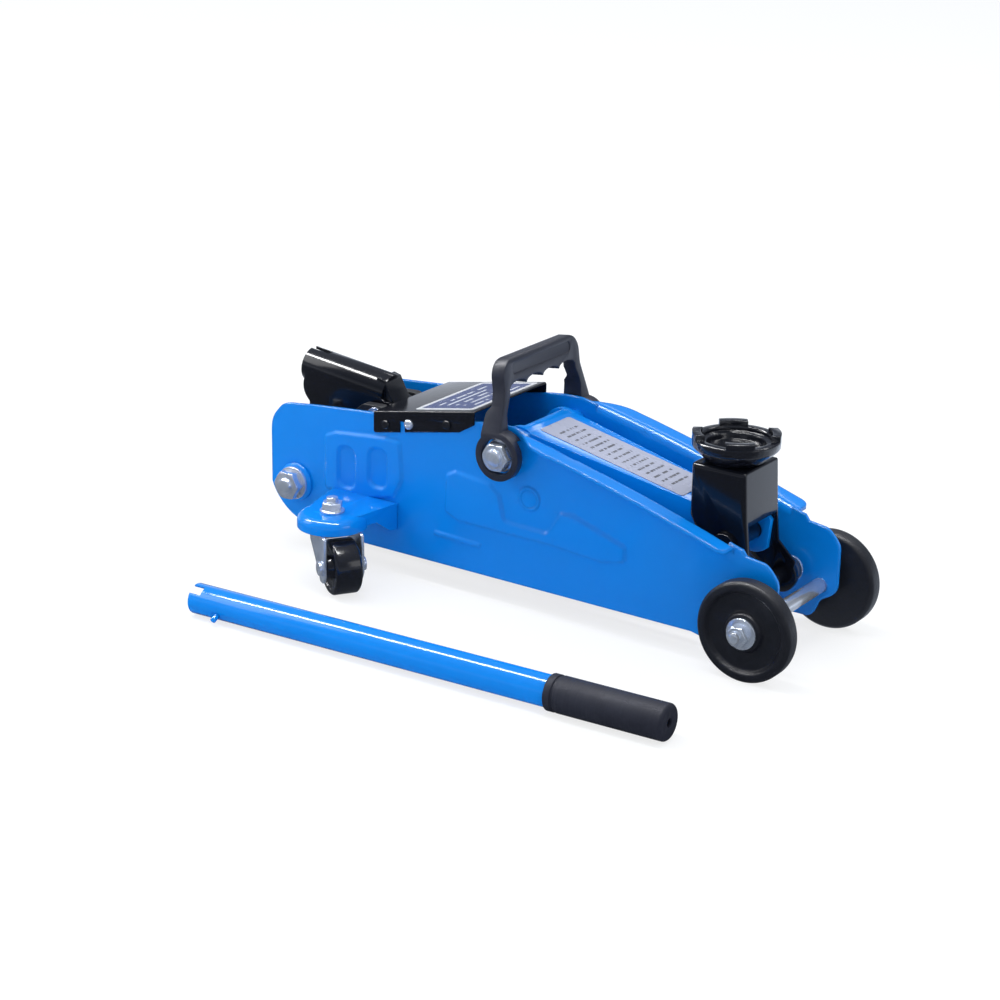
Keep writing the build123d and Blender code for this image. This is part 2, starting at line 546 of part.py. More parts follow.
pin_clip = bar_y(SOCKET_PIVOT_X, SOCKET_PIVOT_Z, 7.5, -25.4, -24.0) - parts["socket_pin"]
parts["socket_pin_clips"] = both_sides(pin_clip)

# ---- cover plate ---------------------------------------------------------------------------
COVER_REAR = -309.0
COVER_FRONT = -223.5
COVER_SHEET = 1.2
COVER_LOW = 116.6
COVER_HIGH = 132.7
cover_rise = (COVER_HIGH - COVER_LOW) / (COVER_FRONT - COVER_REAR)


def cover_top(x):
    """Height of the cover's top at x."""
    return COVER_LOW + (x - COVER_REAR) * cover_rise


cover_side = rounded(
    [
        (COVER_REAR, cover_top(COVER_REAR)), (COVER_FRONT, cover_top(COVER_FRONT)), (COVER_FRONT, 123),
        (-236, 115.4), (COVER_REAR, 100.7),
    ],
    1.6,
)
cover = slab(cover_side, -PLATE_FACE - COVER_SHEET, PLATE_FACE + COVER_SHEET)
cover_gap = make_face(
    Polyline(
        (COVER_REAR - 9, cover_top(COVER_REAR - 9) - COVER_SHEET),
        (COVER_FRONT + 9, cover_top(COVER_FRONT + 9) - COVER_SHEET),
        (COVER_FRONT + 9, 60), (COVER_REAR - 9, 60), close=True,
    )
)
cover -= slab(cover_gap, -PLATE_FACE, PLATE_FACE)
cover_corner = PLATE_FACE + COVER_SHEET / 2
cover_edges = cover.edges().filter_by(lambda e: e.length > 75 and e.center().Z > 120)
cover_edges = cover_edges.filter_by(lambda e: abs(e.center().Y) > cover_corner)
cover = fillet(cover_edges, 1.0)
# A slot up each flange leaves a separate rear tab.
for y in (-PLATE_FACE - 1, PLATE_FACE + 1):
    cover -= Pos(-283.8, y, 106) * Box(4.4, 2.6, 15.4)
for x, z, radius in ((-298, 109, 1.6), (-246, 119, 1.6), (-278, 113, 2.0)):
    cover -= bar_y(x, z, radius, -60, 60)
parts["cover_plate"] = cover
label_tilt = degrees(atan2(cover_rise, 1))
cover_label = Pos(-252, 0, cover_top(-252)) * Rot(0, -label_tilt, 0) * Pos(0, 0, 0.2) * Box(50, 80, 0.4)
parts["cover_label"] = fillet(cover_label.edges().filter_by(lambda e: abs(e.length - 0.4) < 0.01), 3)


def domed_head(x, z, radius, height, shank):
    """Rivet or screw head standing out of the right-hand flange, with its shank."""
    face = -PLATE_FACE - COVER_SHEET
    head = bar_y(x, z, radius, face - height, face)
    head = fillet(head.edges().filter_by(GeomType.CIRCLE).sort_by(Axis.Y)[:1], height * 0.8)
    return head + bar_y(x, z, shank, face - 0.5, -PLATE_FACE)


rivets = [domed_head(x, z, 3.2, 1.6, 1.6) for x, z in ((-298, 109), (-246, 119))]
rivets += [mirror(rivet, about=Plane.XZ) for rivet in rivets]
parts["cover_rivets"] = Compound(children=rivets)
screw = domed_head(-278, 113, 3.6, 2.2, 2.0)
screw -= Pos(-278, -PLATE_FACE - 3.6, 113) * Box(5.0, 1.4, 0.9)
parts["cover_screws"] = both_sides(screw)

# ---- casters -------------------------------------------------------------------------------
# A caster is drawn about its own swivel axis. Its bracket is mirrored for the left-hand side,
# while fork, axle and wheel are the same on both sides and trail the same way.
cup = Cylinder(CUP_R, CUP_DEPTH, align=(Align.CENTER, Align.CENTER, Align.MIN))
cup = fillet(cup.edges().filter_by(GeomType.CIRCLE).sort_by(Axis.Z)[-1:], 6.0)
cup = Pos(0, 0, CASTER_TOP - CUP_DEPTH) * cup
gap_to_plate = CASTER_Y - PLATE_FACE
arm_plan = make_face(
    Polyline((-30, gap_to_plate), (26, gap_to_plate), (21, 4), (15, -8), (-15, -8), (-21, 4), close=True)
)
caster_arm = Pos(0, 0, CASTER_TOP - SHEET) * extrude(arm_plan, amount=SHEET)
lip_front = make_face(
    Polyline(
        (gap_to_plate, CASTER_TOP), (gap_to_plate, 33.5), (gap_to_plate - 7, 34.5), (20, 44), (4, 44),
        (4, CASTER_TOP), close=True,
    )
)
lip = extrude(Plane.YZ * lip_front, amount=SHEET, dir=(1, 0, 0))
lean_front = degrees(atan2(5, gap_to_plate - 4))
caster_arm += Pos(21 - SHEET, 0, 0) * Pos(0, 4, 0) * Rot(0, 0, -lean_front) * Pos(0, -4, 0) * lip
trim = Pos(0, gap_to_plate + 10, 40) * Box(120, 20, 60)
bracket_shell = cup + caster_arm - trim
bracket_shell -= bar_z(0, 0, 30, CASTER_TOP - SHEET, CUP_R - SHEET)
bracket_shell -= bar_z(0, 0, 30, 70, 4.0)
place_right = Pos(CASTER_X, -CASTER_Y, 0)
place_left = Pos(CASTER_X, CASTER_Y, 0)
parts["caster_bracket_right"] = place_right * bracket_shell - parts["side_plate_right"]
parts["caster_bracket_left"] = mirror(parts["caster_bracket_right"], about=Plane.XZ)

fork_plate_top = CASTER_TOP - CUP_DEPTH - 0.4
swivel_bolt = bar_z(0, 0, fork_plate_top - 5.4, CASTER_TOP + 10.5, 4.0)
swivel_bolt += bar_z(0, 0, fork_plate_top - 5.4, fork_plate_top - 2.4, 7.0)
parts["swivel_bolts"] = both_sides(place_right * swivel_bolt)
swivel_nut = Pos(0, 0, CASTER_TOP) * extrude(RegularPolygon(6.5, 6, major_radius=False), amount=7)
swivel_nut += bar_z(0, 0, CASTER_TOP, CASTER_TOP + 1.6, 8.6)
parts["swivel_nuts"] = both_sides(place_right * (swivel_nut - bar_z(0, 0, 30, 80, 4.0)))

# Fork: a round top plate with two legs down to the wheel's axle.
leg_in = 12.6
leg_out = 14.6
fork = bar_z(0, 0, fork_plate_top - 2.0, fork_plate_top, 18.0)
fork += Pos(CASTER_TRAIL / 2, 0, fork_plate_top - 1.0) * Box(CASTER_TRAIL, 2 * leg_out, 2)
leg_outline = rounded(
    [
        (-9, fork_plate_top), (24, fork_plate_top), (25, 34), (CASTER_TRAIL + 6.5, 15),
        (CASTER_TRAIL + 3, 9), (CASTER_TRAIL - 3, 9), (CASTER_TRAIL - 6.5, 15), (-5, 33),
    ],
    2.2,
)
fork += slab(leg_outline, -leg_out, -leg_in)
fork += slab(leg_outline, leg_in, leg_out)
fork += bar_z(0, 0, fork_plate_top - 0.5, fork_plate_top + 4.5, 13.0)
fork -= bar_z(0, 0, 30, 60, 4.0 + RUN_GAP)
fork -= bar_y(CASTER_TRAIL, CASTER_WHEEL_R, 3.0, -30, 30)
caster_turn = Rot(0, 0, CASTER_YAW)
parts["caster_fork_right"] = place_right * caster_turn * fork
parts["caster_fork_left"] = place_left * caster_turn * fork
small_axle = bar_y(CASTER_TRAIL, CASTER_WHEEL_R, 3.0, -17.0, 17.0)
small_axle += bar_y(CASTER_TRAIL, CASTER_WHEEL_R, 5.0, -17.0, -leg_out)
small_axle += bar_y(CASTER_TRAIL, CASTER_WHEEL_R, 5.0, leg_out, 17.0)
parts["caster_axle_right"] = place_right * caster_turn * small_axle
parts["caster_axle_left"] = place_left * caster_turn * small_axle

wheel_half = CASTER_WHEEL_W / 2
caster_section = make_face(
    Polyline(
        (3.0 + RUN_GAP, -leg_in + FACE_GAP), (7.5, -leg_in + FACE_GAP), (8.5, -wheel_half + 1.5),
        (CASTER_WHEEL_R - 4.5, -wheel_half + 1.5), (CASTER_WHEEL_R - 4.0, -wheel_half),
        (CASTER_WHEEL_R - 1.5, -wheel_half), (CASTER_WHEEL_R, -wheel_half + 1.5),
        (CASTER_WHEEL_R, wheel_half - 1.5), (CASTER_WHEEL_R - 1.5, wheel_half),
        (CASTER_WHEEL_R - 4.0, wheel_half), (CASTER_WHEEL_R - 4.5, wheel_half - 1.5),
        (8.5, wheel_half - 1.5), (7.5, leg_in - FACE_GAP), (3.0 + RUN_GAP, leg_in - FACE_GAP), close=True,
    )
)
small_wheel = Rot(90, 0, 0) * revolve(Plane.XZ * caster_section, axis=Axis.Z)
small_wheel = Pos(CASTER_TRAIL, 0, CASTER_WHEEL_R) * small_wheel
parts["caster_wheel_right"] = place_right * caster_turn * small_wheel
parts["caster_wheel_left"] = place_left * caster_turn * small_wheel

# ---- carry handle --------------------------------------------------------------------------
# Front view and side view outlines crossed with each other, drawn upright about the pivot.
leg_inside = CARRY_HALF - CARRY_LEG
corner_from = CARRY_TOP - CARRY_CORNER
corner_in = CARRY_HALF - CARRY_CORNER
corner_mid = CARRY_HALF - CARRY_CORNER * (1 - sqrt(0.5))
corner_high = CARRY_TOP - CARRY_CORNER * (1 - sqrt(0.5))
hub_face = PLATE_FACE + 12.35
hub_back = PLATE_FACE + 1.85
shoulder_low = hub_face - 3.7
shoulder_high = hub_face - 7.2
shoulder_back = hub_back - 2.6
front_view = make_face(
    Curve()
    + [
        Line((-hub_face, -HUB_R), (-hub_face, 15)),
        Spline((-hub_face, 15), (-shoulder_low, 25), (-shoulder_high, 34), (-CARRY_HALF, 43)),
        Line((-CARRY_HALF, 43), (-CARRY_HALF, corner_from)),
        ThreePointArc((-CARRY_HALF, corner_from), (-corner_mid, corner_high), (-corner_in, CARRY_TOP)),
        Line((-corner_in, CARRY_TOP), (corner_in, CARRY_TOP)),
        ThreePointArc((corner_in, CARRY_TOP), (corner_mid, corner_high), (CARRY_HALF, corner_from)),
        Line((CARRY_HALF, corner_from), (CARRY_HALF, 43)),
        Spline((CARRY_HALF, 43), (shoulder_high, 34), (shoulder_low, 25), (hub_face, 15)),
        Line((hub_face, 15), (hub_face, -HUB_R)),
        Line((hub_face, -HUB_R), (-hub_face, -HUB_R)),
    ]
)
finger_gap = make_face(
    Curve()
    + [
        Line((-hub_back, -HUB_R - 1), (-hub_back, 27)),
        Spline((-hub_back, 27), (-shoulder_back, 34), (-leg_inside, 40)),
        Line((-leg_inside, 40), (-leg_inside, CARRY_UNDER)),
        Line((-leg_inside, CARRY_UNDER), (leg_inside, CARRY_UNDER)),
        Line((leg_inside, CARRY_UNDER), (leg_inside, 40)),
        Spline((leg_inside, 40), (shoulder_back, 34), (hub_back, 27)),
        Line((hub_back, 27), (hub_back, -HUB_R - 1)),
        Line((hub_back, -HUB_R - 1), (-hub_back, -HUB_R - 1)),
    ]
)
front_view -= finger_gap
for y in (-29.4, -9.8, 9.8, 29.4):
    front_view -= Pos(y, CARRY_UNDER) * Ellipse(9.3, 3.4)
side_view = Circle(HUB_R)
side_view += rounded(
    [(-12.5, -2), (-11, 16), (-9, 29), (-5, 33), (-5, CARRY_TOP), (5, CARRY_TOP), (5, 33), (4, 14), (8, -2)], 2.5
)
carry = extrude(Plane.YZ * front_view, amount=30, both=True)
carry &= slab(side_view, -hub_face - 1, hub_face + 1)
for side in (-1, 1):
    carry -= bar_y(0, 0, 12.6, *sorted((side * (washer_in - 0.4), side * (hub_face + 4.5))))
    # The hub's rim is thin, and only a narrower boss reaches in towards the side plate.
    thinned = bar_y(0, 0, HUB_R + 4, *sorted((side * (hub_back - 1), side * (hub_face - 6))))
    thinned -= bar_y(0, 0, 11, -hub_face, hub_face)
    carry -= thinned & Pos(0, 0, -3) * Box(60, 2 * hub_face + 19, 26)
# Shallow channels along the front and back of the grip and legs.
for face_x in (-5.0, 5.0):
    channel = Pos(face_x, 0, 56) * Box(1.2, 70, 8)
    carry -= fillet(channel.edges().filter_by(Axis.X), 3)
carry -= bar_y(0, 0, PIVOT_R + RUN_GAP, -hub_face - 1, hub_face + 1)
carry = Pos(A_X, 0, A_Z) * Rot(0, -CARRY_LEAN, 0) * carry
parts["carry_handle"] = carry

# ---- loose handle bar ----------------------------------------------------------------------
# Drawn along +X from its slotted end, then laid on the floor so that end and grip both touch.
bar_pitch = degrees(atan2(GRIP_R - BAR_R, GRIP_START))
bar_place = Pos(BAR_X, BAR_Y, BAR_R) * Rot(0, 0, BAR_YAW) * Rot(0, -bar_pitch, 0)


def along(x_from, x_to, radius):
    """Round piece along the bar."""
    return Pos((x_from + x_to) / 2, 0, 0) * Rot(0, 90, 0) * Cylinder(radius, x_to - x_from)


bar_tube = along(0.1, BAR_LENGTH - 3, BAR_R) - along(0, BAR_LENGTH, BAR_R - 1.5)
bar_tube -= Pos(4.5, 0, 0) * Rot(33, 0, 0) * Box(9.4, 6.5, 40)
bar_tube -= Rot(25, 0, 0) * (Pos(24, -BAR_R, 0) * Rot(90, 0, 0) * Cylinder(2.0, 8))
parts["bar_tube"] = bar_place * bar_tube
stub = Pos(24, -BAR_R - 1.5, 0) * Rot(90, 0, 0) * Cylinder(2.0, 7)
parts["bar_stub_pin"] = bar_place * (Rot(25, 0, 0) * stub)
grip = along(GRIP_START, BAR_LENGTH, GRIP_R)
grip = fillet(grip.edges().filter_by(GeomType.CIRCLE).sort_by(Axis.X)[-1:], 2.5)
grip -= along(GRIP_START - 1, BAR_LENGTH - 3, BAR_R)
grip -= along(BAR_LENGTH - 6, BAR_LENGTH + 1, 3.0)
groove = along(GRIP_START + 5, GRIP_START + 7, GRIP_R + 1) - along(GRIP_START + 4, GRIP_START + 8, GRIP_R - 0.8)
grip -= groove
parts["bar_grip"] = bar_place * grip

# ---- move to the middle of the footprint and write ------------------------------------------
whole = Compound(children=[Compound(children=list(p.solids())) for p in parts.values()])
box = whole.bounding_box()
move = Pos(-(box.min.X + box.max.X) / 2, -(box.min.Y + box.max.Y) / 2, -box.min.Z)
print("moved by", move.position.X, move.position.Y, move.position.Z)
print("size", box.size.X, box.size.Y, box.size.Z)
os.makedirs("parts", exist_ok=True)
for name, piece in parts.items():
    solids = piece.solids()
    placed = [move * solid for solid in solids]
    export_step(placed[0] if len(placed) == 1 else Compound(children=placed), f"parts/{name}.step")
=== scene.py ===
import json
import logging
import math
from dataclasses import dataclass, field
from enum import Enum

import bpy
from mathutils import Matrix, Vector

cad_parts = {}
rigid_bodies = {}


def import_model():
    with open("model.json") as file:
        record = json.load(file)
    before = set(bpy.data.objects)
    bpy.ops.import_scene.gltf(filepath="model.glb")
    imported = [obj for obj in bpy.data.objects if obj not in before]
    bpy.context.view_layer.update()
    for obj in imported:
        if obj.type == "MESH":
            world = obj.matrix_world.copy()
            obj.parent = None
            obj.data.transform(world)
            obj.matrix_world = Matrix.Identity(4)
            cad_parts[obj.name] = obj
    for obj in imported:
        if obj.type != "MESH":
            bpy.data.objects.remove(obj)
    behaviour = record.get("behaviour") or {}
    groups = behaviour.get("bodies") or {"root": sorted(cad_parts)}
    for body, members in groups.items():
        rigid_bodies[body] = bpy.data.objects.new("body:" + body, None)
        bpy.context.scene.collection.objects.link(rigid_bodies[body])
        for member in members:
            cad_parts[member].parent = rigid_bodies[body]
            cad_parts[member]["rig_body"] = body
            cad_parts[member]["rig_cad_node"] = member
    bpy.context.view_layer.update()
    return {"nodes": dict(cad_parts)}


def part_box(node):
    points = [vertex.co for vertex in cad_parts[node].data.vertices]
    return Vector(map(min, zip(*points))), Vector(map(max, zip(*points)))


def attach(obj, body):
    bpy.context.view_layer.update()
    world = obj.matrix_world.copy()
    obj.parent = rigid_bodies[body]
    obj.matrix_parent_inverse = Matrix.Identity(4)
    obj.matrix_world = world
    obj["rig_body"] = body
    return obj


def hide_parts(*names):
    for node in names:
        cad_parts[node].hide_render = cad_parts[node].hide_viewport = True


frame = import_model()

LOG = logging.getLogger("trolley_jack")
MM = 0.001
Colour = tuple[float, float, float]


# ---- finishes ------------------------------------------------------------------------------
class Slot(Enum):
    """Material slots of the record that the pieces take their finish from."""

    BLUE = "blue_paint"
    BLACK = "black_paint"
    CAST = "cast_black"
    CASTER = "caster_tyre"
    ZINC = "zinc"
    BRIGHT = "bright_steel"
    GREY = "grey_steel"
    CASTING = "pump_casting"
    PLASTIC = "charcoal_plastic"
    RUBBER = "black_rubber"
    SILVER_LABEL = "silver_label"
    NAVY_LABEL = "navy_label"
    RIVET = "black_rivet"


class Groups:
    """Shader node groups that several finishes share, each built once."""

    def __init__(self) -> None:
        """Starts with no group built."""
        self.built: dict[str, bpy.types.NodeTree] = {}

    @staticmethod
    def socket(tree: bpy.types.NodeTree, name: str, kind: str, way: str, value: float = 0.0) -> None:
        """Adds one named socket to a group.

        Args:
            tree: The group.
            name: The socket's name.
            kind: Its type, such as Float.
            way: INPUT or OUTPUT.
            value: Starting value of a number.
        """
        made = tree.interface.new_socket(name=name, in_out=way, socket_type="NodeSocket" + kind)
        if kind == "Float":
            made.default_value = value

    def start(self, name: str, inputs: list[tuple[str, str, float]], outputs: list[tuple[str, str]]):
        """Makes an empty group with its sockets.

        Args:
            name: The group's name.
            inputs: Name, type and value of each input.
            outputs: Name and type of each output.

        Returns:
            The tree, its input node and its output node.
        """
        tree = bpy.data.node_groups.new(name, "ShaderNodeTree")
        for socket_name, kind, value in inputs:
            self.socket(tree, socket_name, kind, "INPUT", value)
        for socket_name, kind in outputs:
            self.socket(tree, socket_name, kind, "OUTPUT")
        self.built[name] = tree
        return tree, tree.nodes.new("NodeGroupInput"), tree.nodes.new("NodeGroupOutput")

    def mottle(self) -> bpy.types.NodeTree:
        """Broad, soft variation over a surface.

        Returns:
            A group from a point and a scale to a mask.
        """
        if "mottle" in self.built:
            return self.built["mottle"]
        tree, given, out = self.start(
            "mottle",
            [("Point", "Vector", 0), ("Scale", "Float", 20.0), ("Contrast", "Float", 1.0)],
            [("Mask", "Float")],
        )
        noise = tree.nodes.new("ShaderNodeTexNoise")
        noise.inputs["Detail"].default_value = 4.0
        noise.inputs["Roughness"].default_value = 0.55
        spread = tree.nodes.new("ShaderNodeMath")
        spread.operation = "MULTIPLY_ADD"
        spread.use_clamp = True
        shift = tree.nodes.new("ShaderNodeMath")
        shift.operation = "MULTIPLY_ADD"
        shift.inputs[1].default_value = -0.5
        shift.inputs[2].default_value = 0.5
        link = tree.links.new
        link(given.outputs["Point"], noise.inputs["Vector"])
        link(given.outputs["Scale"], noise.inputs["Scale"])
        link(given.outputs["Contrast"], shift.inputs[0])
        link(noise.outputs["Fac"], spread.inputs[0])
        link(given.outputs["Contrast"], spread.inputs[1])
        link(shift.outputs["Value"], spread.inputs[2])
        link(spread.outputs["Value"], out.inputs["Mask"])
        return tree

    def grain(self) -> bpy.types.NodeTree:
        """Fine surface grain over rounded edges.

        Returns:
            A group from a point, grain size, depth and edge radius to a normal.
        """
        if "grain" in self.built:
            return self.built["grain"]
        tree, given, out = self.start(
            "grain",
            [
                ("Point", "Vector", 0), ("Stretch", "Vector", 0), ("Scale", "Float", 900.0),
                ("Depth", "Float", 0.1), ("Edge", "Float", 0.0005),
            ],
            [("Normal", "Vector")],
        )
        stretch = tree.nodes.new("ShaderNodeVectorMath")
        stretch.operation = "MULTIPLY"
        noise = tree.nodes.new("ShaderNodeTexNoise")
        noise.inputs["Detail"].default_value = 3.0
        bevel = tree.nodes.new("ShaderNodeBevel")
        bevel.samples = 6
        bump = tree.nodes.new("ShaderNodeBump")
        bump.inputs["Distance"].default_value = 0.0004
        link = tree.links.new
        link(given.outputs["Point"], stretch.inputs[0])
        link(given.outputs["Stretch"], stretch.inputs[1])
        link(stretch.outputs["Vector"], noise.inputs["Vector"])
        link(given.outputs["Scale"], noise.inputs["Scale"])
        link(given.outputs["Depth"], bump.inputs["Strength"])
        link(given.outputs["Edge"], bevel.inputs["Radius"])
        link(noise.outputs["Fac"], bump.inputs["Height"])
        link(bevel.outputs["Normal"], bump.inputs["Normal"])
        link(bump.outputs["Normal"], out.inputs["Normal"])
        return tree

    def edge_wear(self) -> bpy.types.NodeTree:
        """Finds sharp edges, broken up by noise.

        Returns:
            A group from a point and a radius to a mask of worn edges.
        """
        if "edge_wear" in self.built:
            return self.built["edge_wear"]
        tree, given, out = self.start(
            "edge_wear",
            [("Point", "Vector", 0), ("Radius", "Float", 0.0008), ("Amount", "Float", 0.3)],
            [("Mask", "Float")],
        )
        bevel = tree.nodes.new("ShaderNodeBevel")
        bevel.samples = 4
        shape = tree.nodes.new("ShaderNodeNewGeometry")
        dot = tree.nodes.new("ShaderNodeVectorMath")
        dot.operation = "DOT_PRODUCT"
        edge = tree.nodes.new("ShaderNodeMapRange")
        edge.inputs["From Min"].default_value = 0.995
        edge.inputs["From Max"].default_value = 0.85
        noise = tree.nodes.new("ShaderNodeTexNoise")
        noise.inputs["Scale"].default_value = 160.0
        noise.inputs["Detail"].default_value = 5.0
        patch = tree.nodes.new("ShaderNodeMapRange")
        patch.inputs["From Min"].default_value = 0.48
        patch.inputs["From Max"].default_value = 0.62
        both = tree.nodes.new("ShaderNodeMath")
        both.operation = "MULTIPLY"
        scaled = tree.nodes.new("ShaderNodeMath")
        scaled.operation = "MULTIPLY"
        link = tree.links.new
        link(given.outputs["Radius"], bevel.inputs["Radius"])
        link(bevel.outputs["Normal"], dot.inputs[0])
        link(shape.outputs["Normal"], dot.inputs[1])
        link(dot.outputs["Value"], edge.inputs["Value"])
        link(given.outputs["Point"], noise.inputs["Vector"])
        link(noise.outputs["Fac"], patch.inputs["Value"])
        link(edge.outputs["Result"], both.inputs[0])
        link(patch.outputs["Result"], both.inputs[1])
        link(both.outputs["Value"], scaled.inputs[0])
        link(given.outputs["Amount"], scaled.inputs[1])
        link(scaled.outputs["Value"], out.inputs["Mask"])
        return tree

    def dust(self) -> bpy.types.NodeTree:
        """Thin dust that settles on faces that look up.

        Returns:
            A group from a point and an amount to a mask.
        """
        if "dust" in self.built:
            return self.built["dust"]
        tree, given, out = self.start(
            "dust", [("Point", "Vector", 0), ("Amount", "Float", 0.1)], [("Mask", "Float")]
        )
        shape = tree.nodes.new("ShaderNodeNewGeometry")
        parts = tree.nodes.new("ShaderNodeSeparateXYZ")
        up = tree.nodes.new("ShaderNodeMapRange")
        up.inputs["From Min"].default_value = 0.4
        up.inputs["From Max"].default_value = 1.0
        noise = tree.nodes.new("ShaderNodeTexNoise")
        noise.inputs["Scale"].default_value = 60.0
        noise.inputs["Detail"].default_value = 6.0
        both = tree.nodes.new("ShaderNodeMath")
        both.operation = "MULTIPLY"
        scaled = tree.nodes.new("ShaderNodeMath")
        scaled.operation = "MULTIPLY"
        link = tree.links.new
        link(shape.outputs["Normal"], parts.inputs["Vector"])
        link(parts.outputs["Z"], up.inputs["Value"])
        link(given.outputs["Point"], noise.inputs["Vector"])
        link(up.outputs["Result"], both.inputs[0])
        link(noise.outputs["Fac"], both.inputs[1])
        link(both.outputs["Value"], scaled.inputs[0])
        link(given.outputs["Amount"], scaled.inputs[1])
        link(scaled.outputs["Value"], out.inputs["Mask"])
        return tree


GROUPS = Groups()


@dataclass(frozen=True)
class Finish:
    """One surface finish, made of shared groups around a Principled shader."""

    name: str
    slot: Slot
    colour: Colour
    shade: Colour
    worn: Colour
    roughness: tuple[float, float]
    metallic: float = 0.0
    coat: float = 0.0
    mottle_scale: float = 25.0
    grain_scale: float = 700.0
    grain_depth: float = 0.1
    edge: float = 0.5
    wear: float = 0.1
    dust: float = 0.03
    specular: float = 0.5
    grain_stretch: tuple[float, float, float] = (1.0, 1.0, 1.0)

    def place(self, tree: bpy.types.NodeTree, group: bpy.types.NodeTree, **values: float) -> bpy.types.Node:
        """Puts a shared group in a material with its own values.

        Args:
            tree: The material's nodes.
            group: The shared group.
            values: Input values by name.

        Returns:
            The group node.
        """
        node = tree.nodes.new("ShaderNodeGroup")
        node.node_tree = group
        for key, value in values.items():
            node.inputs[key].default_value = value
        return node

    def base_colour(self, tree: bpy.types.NodeTree, point: bpy.types.NodeSocket) -> bpy.types.NodeSocket:
        """Colour under wear and dust: two close tones mixed by broad mottling.

        Args:
            tree: The material's nodes.
            point: Object coordinates.

        Returns:
            The colour socket.
        """
        mask = self.place(tree, GROUPS.mottle(), Scale=self.mottle_scale, Contrast=1.6)
        tree.links.new(point, mask.inputs["Point"])
        return self.mixed(tree, mask.outputs["Mask"], self.colour, self.shade)

    @staticmethod
    def mixed(tree: bpy.types.NodeTree, factor: bpy.types.NodeSocket, low, high) -> bpy.types.NodeSocket:
        """Mixes two colours, each a plain colour or a socket.

        Args:
            tree: The material's nodes.
            factor: Mask socket.
            low: Colour where the mask is 0.
            high: Colour where the mask is 1.

        Returns:
            The mixed colour socket.
        """
        mix = tree.nodes.new("ShaderNodeMix")
        mix.data_type = "RGBA"
        tree.links.new(factor, mix.inputs["Factor"])
        for socket, value in ((mix.inputs[6], low), (mix.inputs[7], high)):
            if isinstance(value, bpy.types.NodeSocket):
                tree.links.new(value, socket)
            else:
                socket.default_value = (*value, 1.0)
        return mix.outputs[2]

    def build(self) -> bpy.types.Material:
        """Builds the material, or returns it if it is there.

        Returns:
            The finished material.
        """
        if self.name in bpy.data.materials:
            return bpy.data.materials[self.name]
        material = bpy.data.materials.new(self.name)
        material.use_nodes = True
        tree = material.node_tree
        shader = tree.nodes["Principled BSDF"]
        point = tree.nodes.new("ShaderNodeTexCoord").outputs["Object"]
        colour = self.base_colour(tree, point)
        if self.wear > 0:
            wear = self.place(tree, GROUPS.edge_wear(), Radius=0.9 * MM, Amount=self.wear)
            tree.links.new(point, wear.inputs["Point"])
            colour = self.mixed(tree, wear.outputs["Mask"], colour, self.worn)
        if self.dust > 0:
            dust = self.place(tree, GROUPS.dust(), Amount=self.dust)
            tree.links.new(point, dust.inputs["Point"])
            colour = self.mixed(tree, dust.outputs["Mask"], colour, (0.5, 0.5, 0.5))
        tree.links.new(colour, shader.inputs["Base Color"])
        rough = self.place(tree, GROUPS.mottle(), Scale=self.mottle_scale * 2.6, Contrast=1.3)
        tree.links.new(point, rough.inputs["Point"])
        spread = tree.nodes.new("ShaderNodeMapRange")
        spread.inputs["To Min"].default_value = self.roughness[0]
        spread.inputs["To Max"].default_value = self.roughness[1]
        tree.links.new(rough.outputs["Mask"], spread.inputs["Value"])
        tree.links.new(spread.outputs["Result"], shader.inputs["Roughness"])
        grain = self.place(
            tree, GROUPS.grain(), Stretch=self.grain_stretch, Scale=self.grain_scale,
            Depth=self.grain_depth, Edge=self.edge * MM,
        )
        tree.links.new(point, grain.inputs["Point"])
        tree.links.new(grain.outputs["Normal"], shader.inputs["Normal"])
        shader.inputs["Metallic"].default_value = self.metallic
        shader.inputs["Coat Weight"].default_value = self.coat
        shader.inputs["Coat Roughness"].default_value = 0.06
        shader.inputs["Specular IOR Level"].default_value = self.specular
        return material


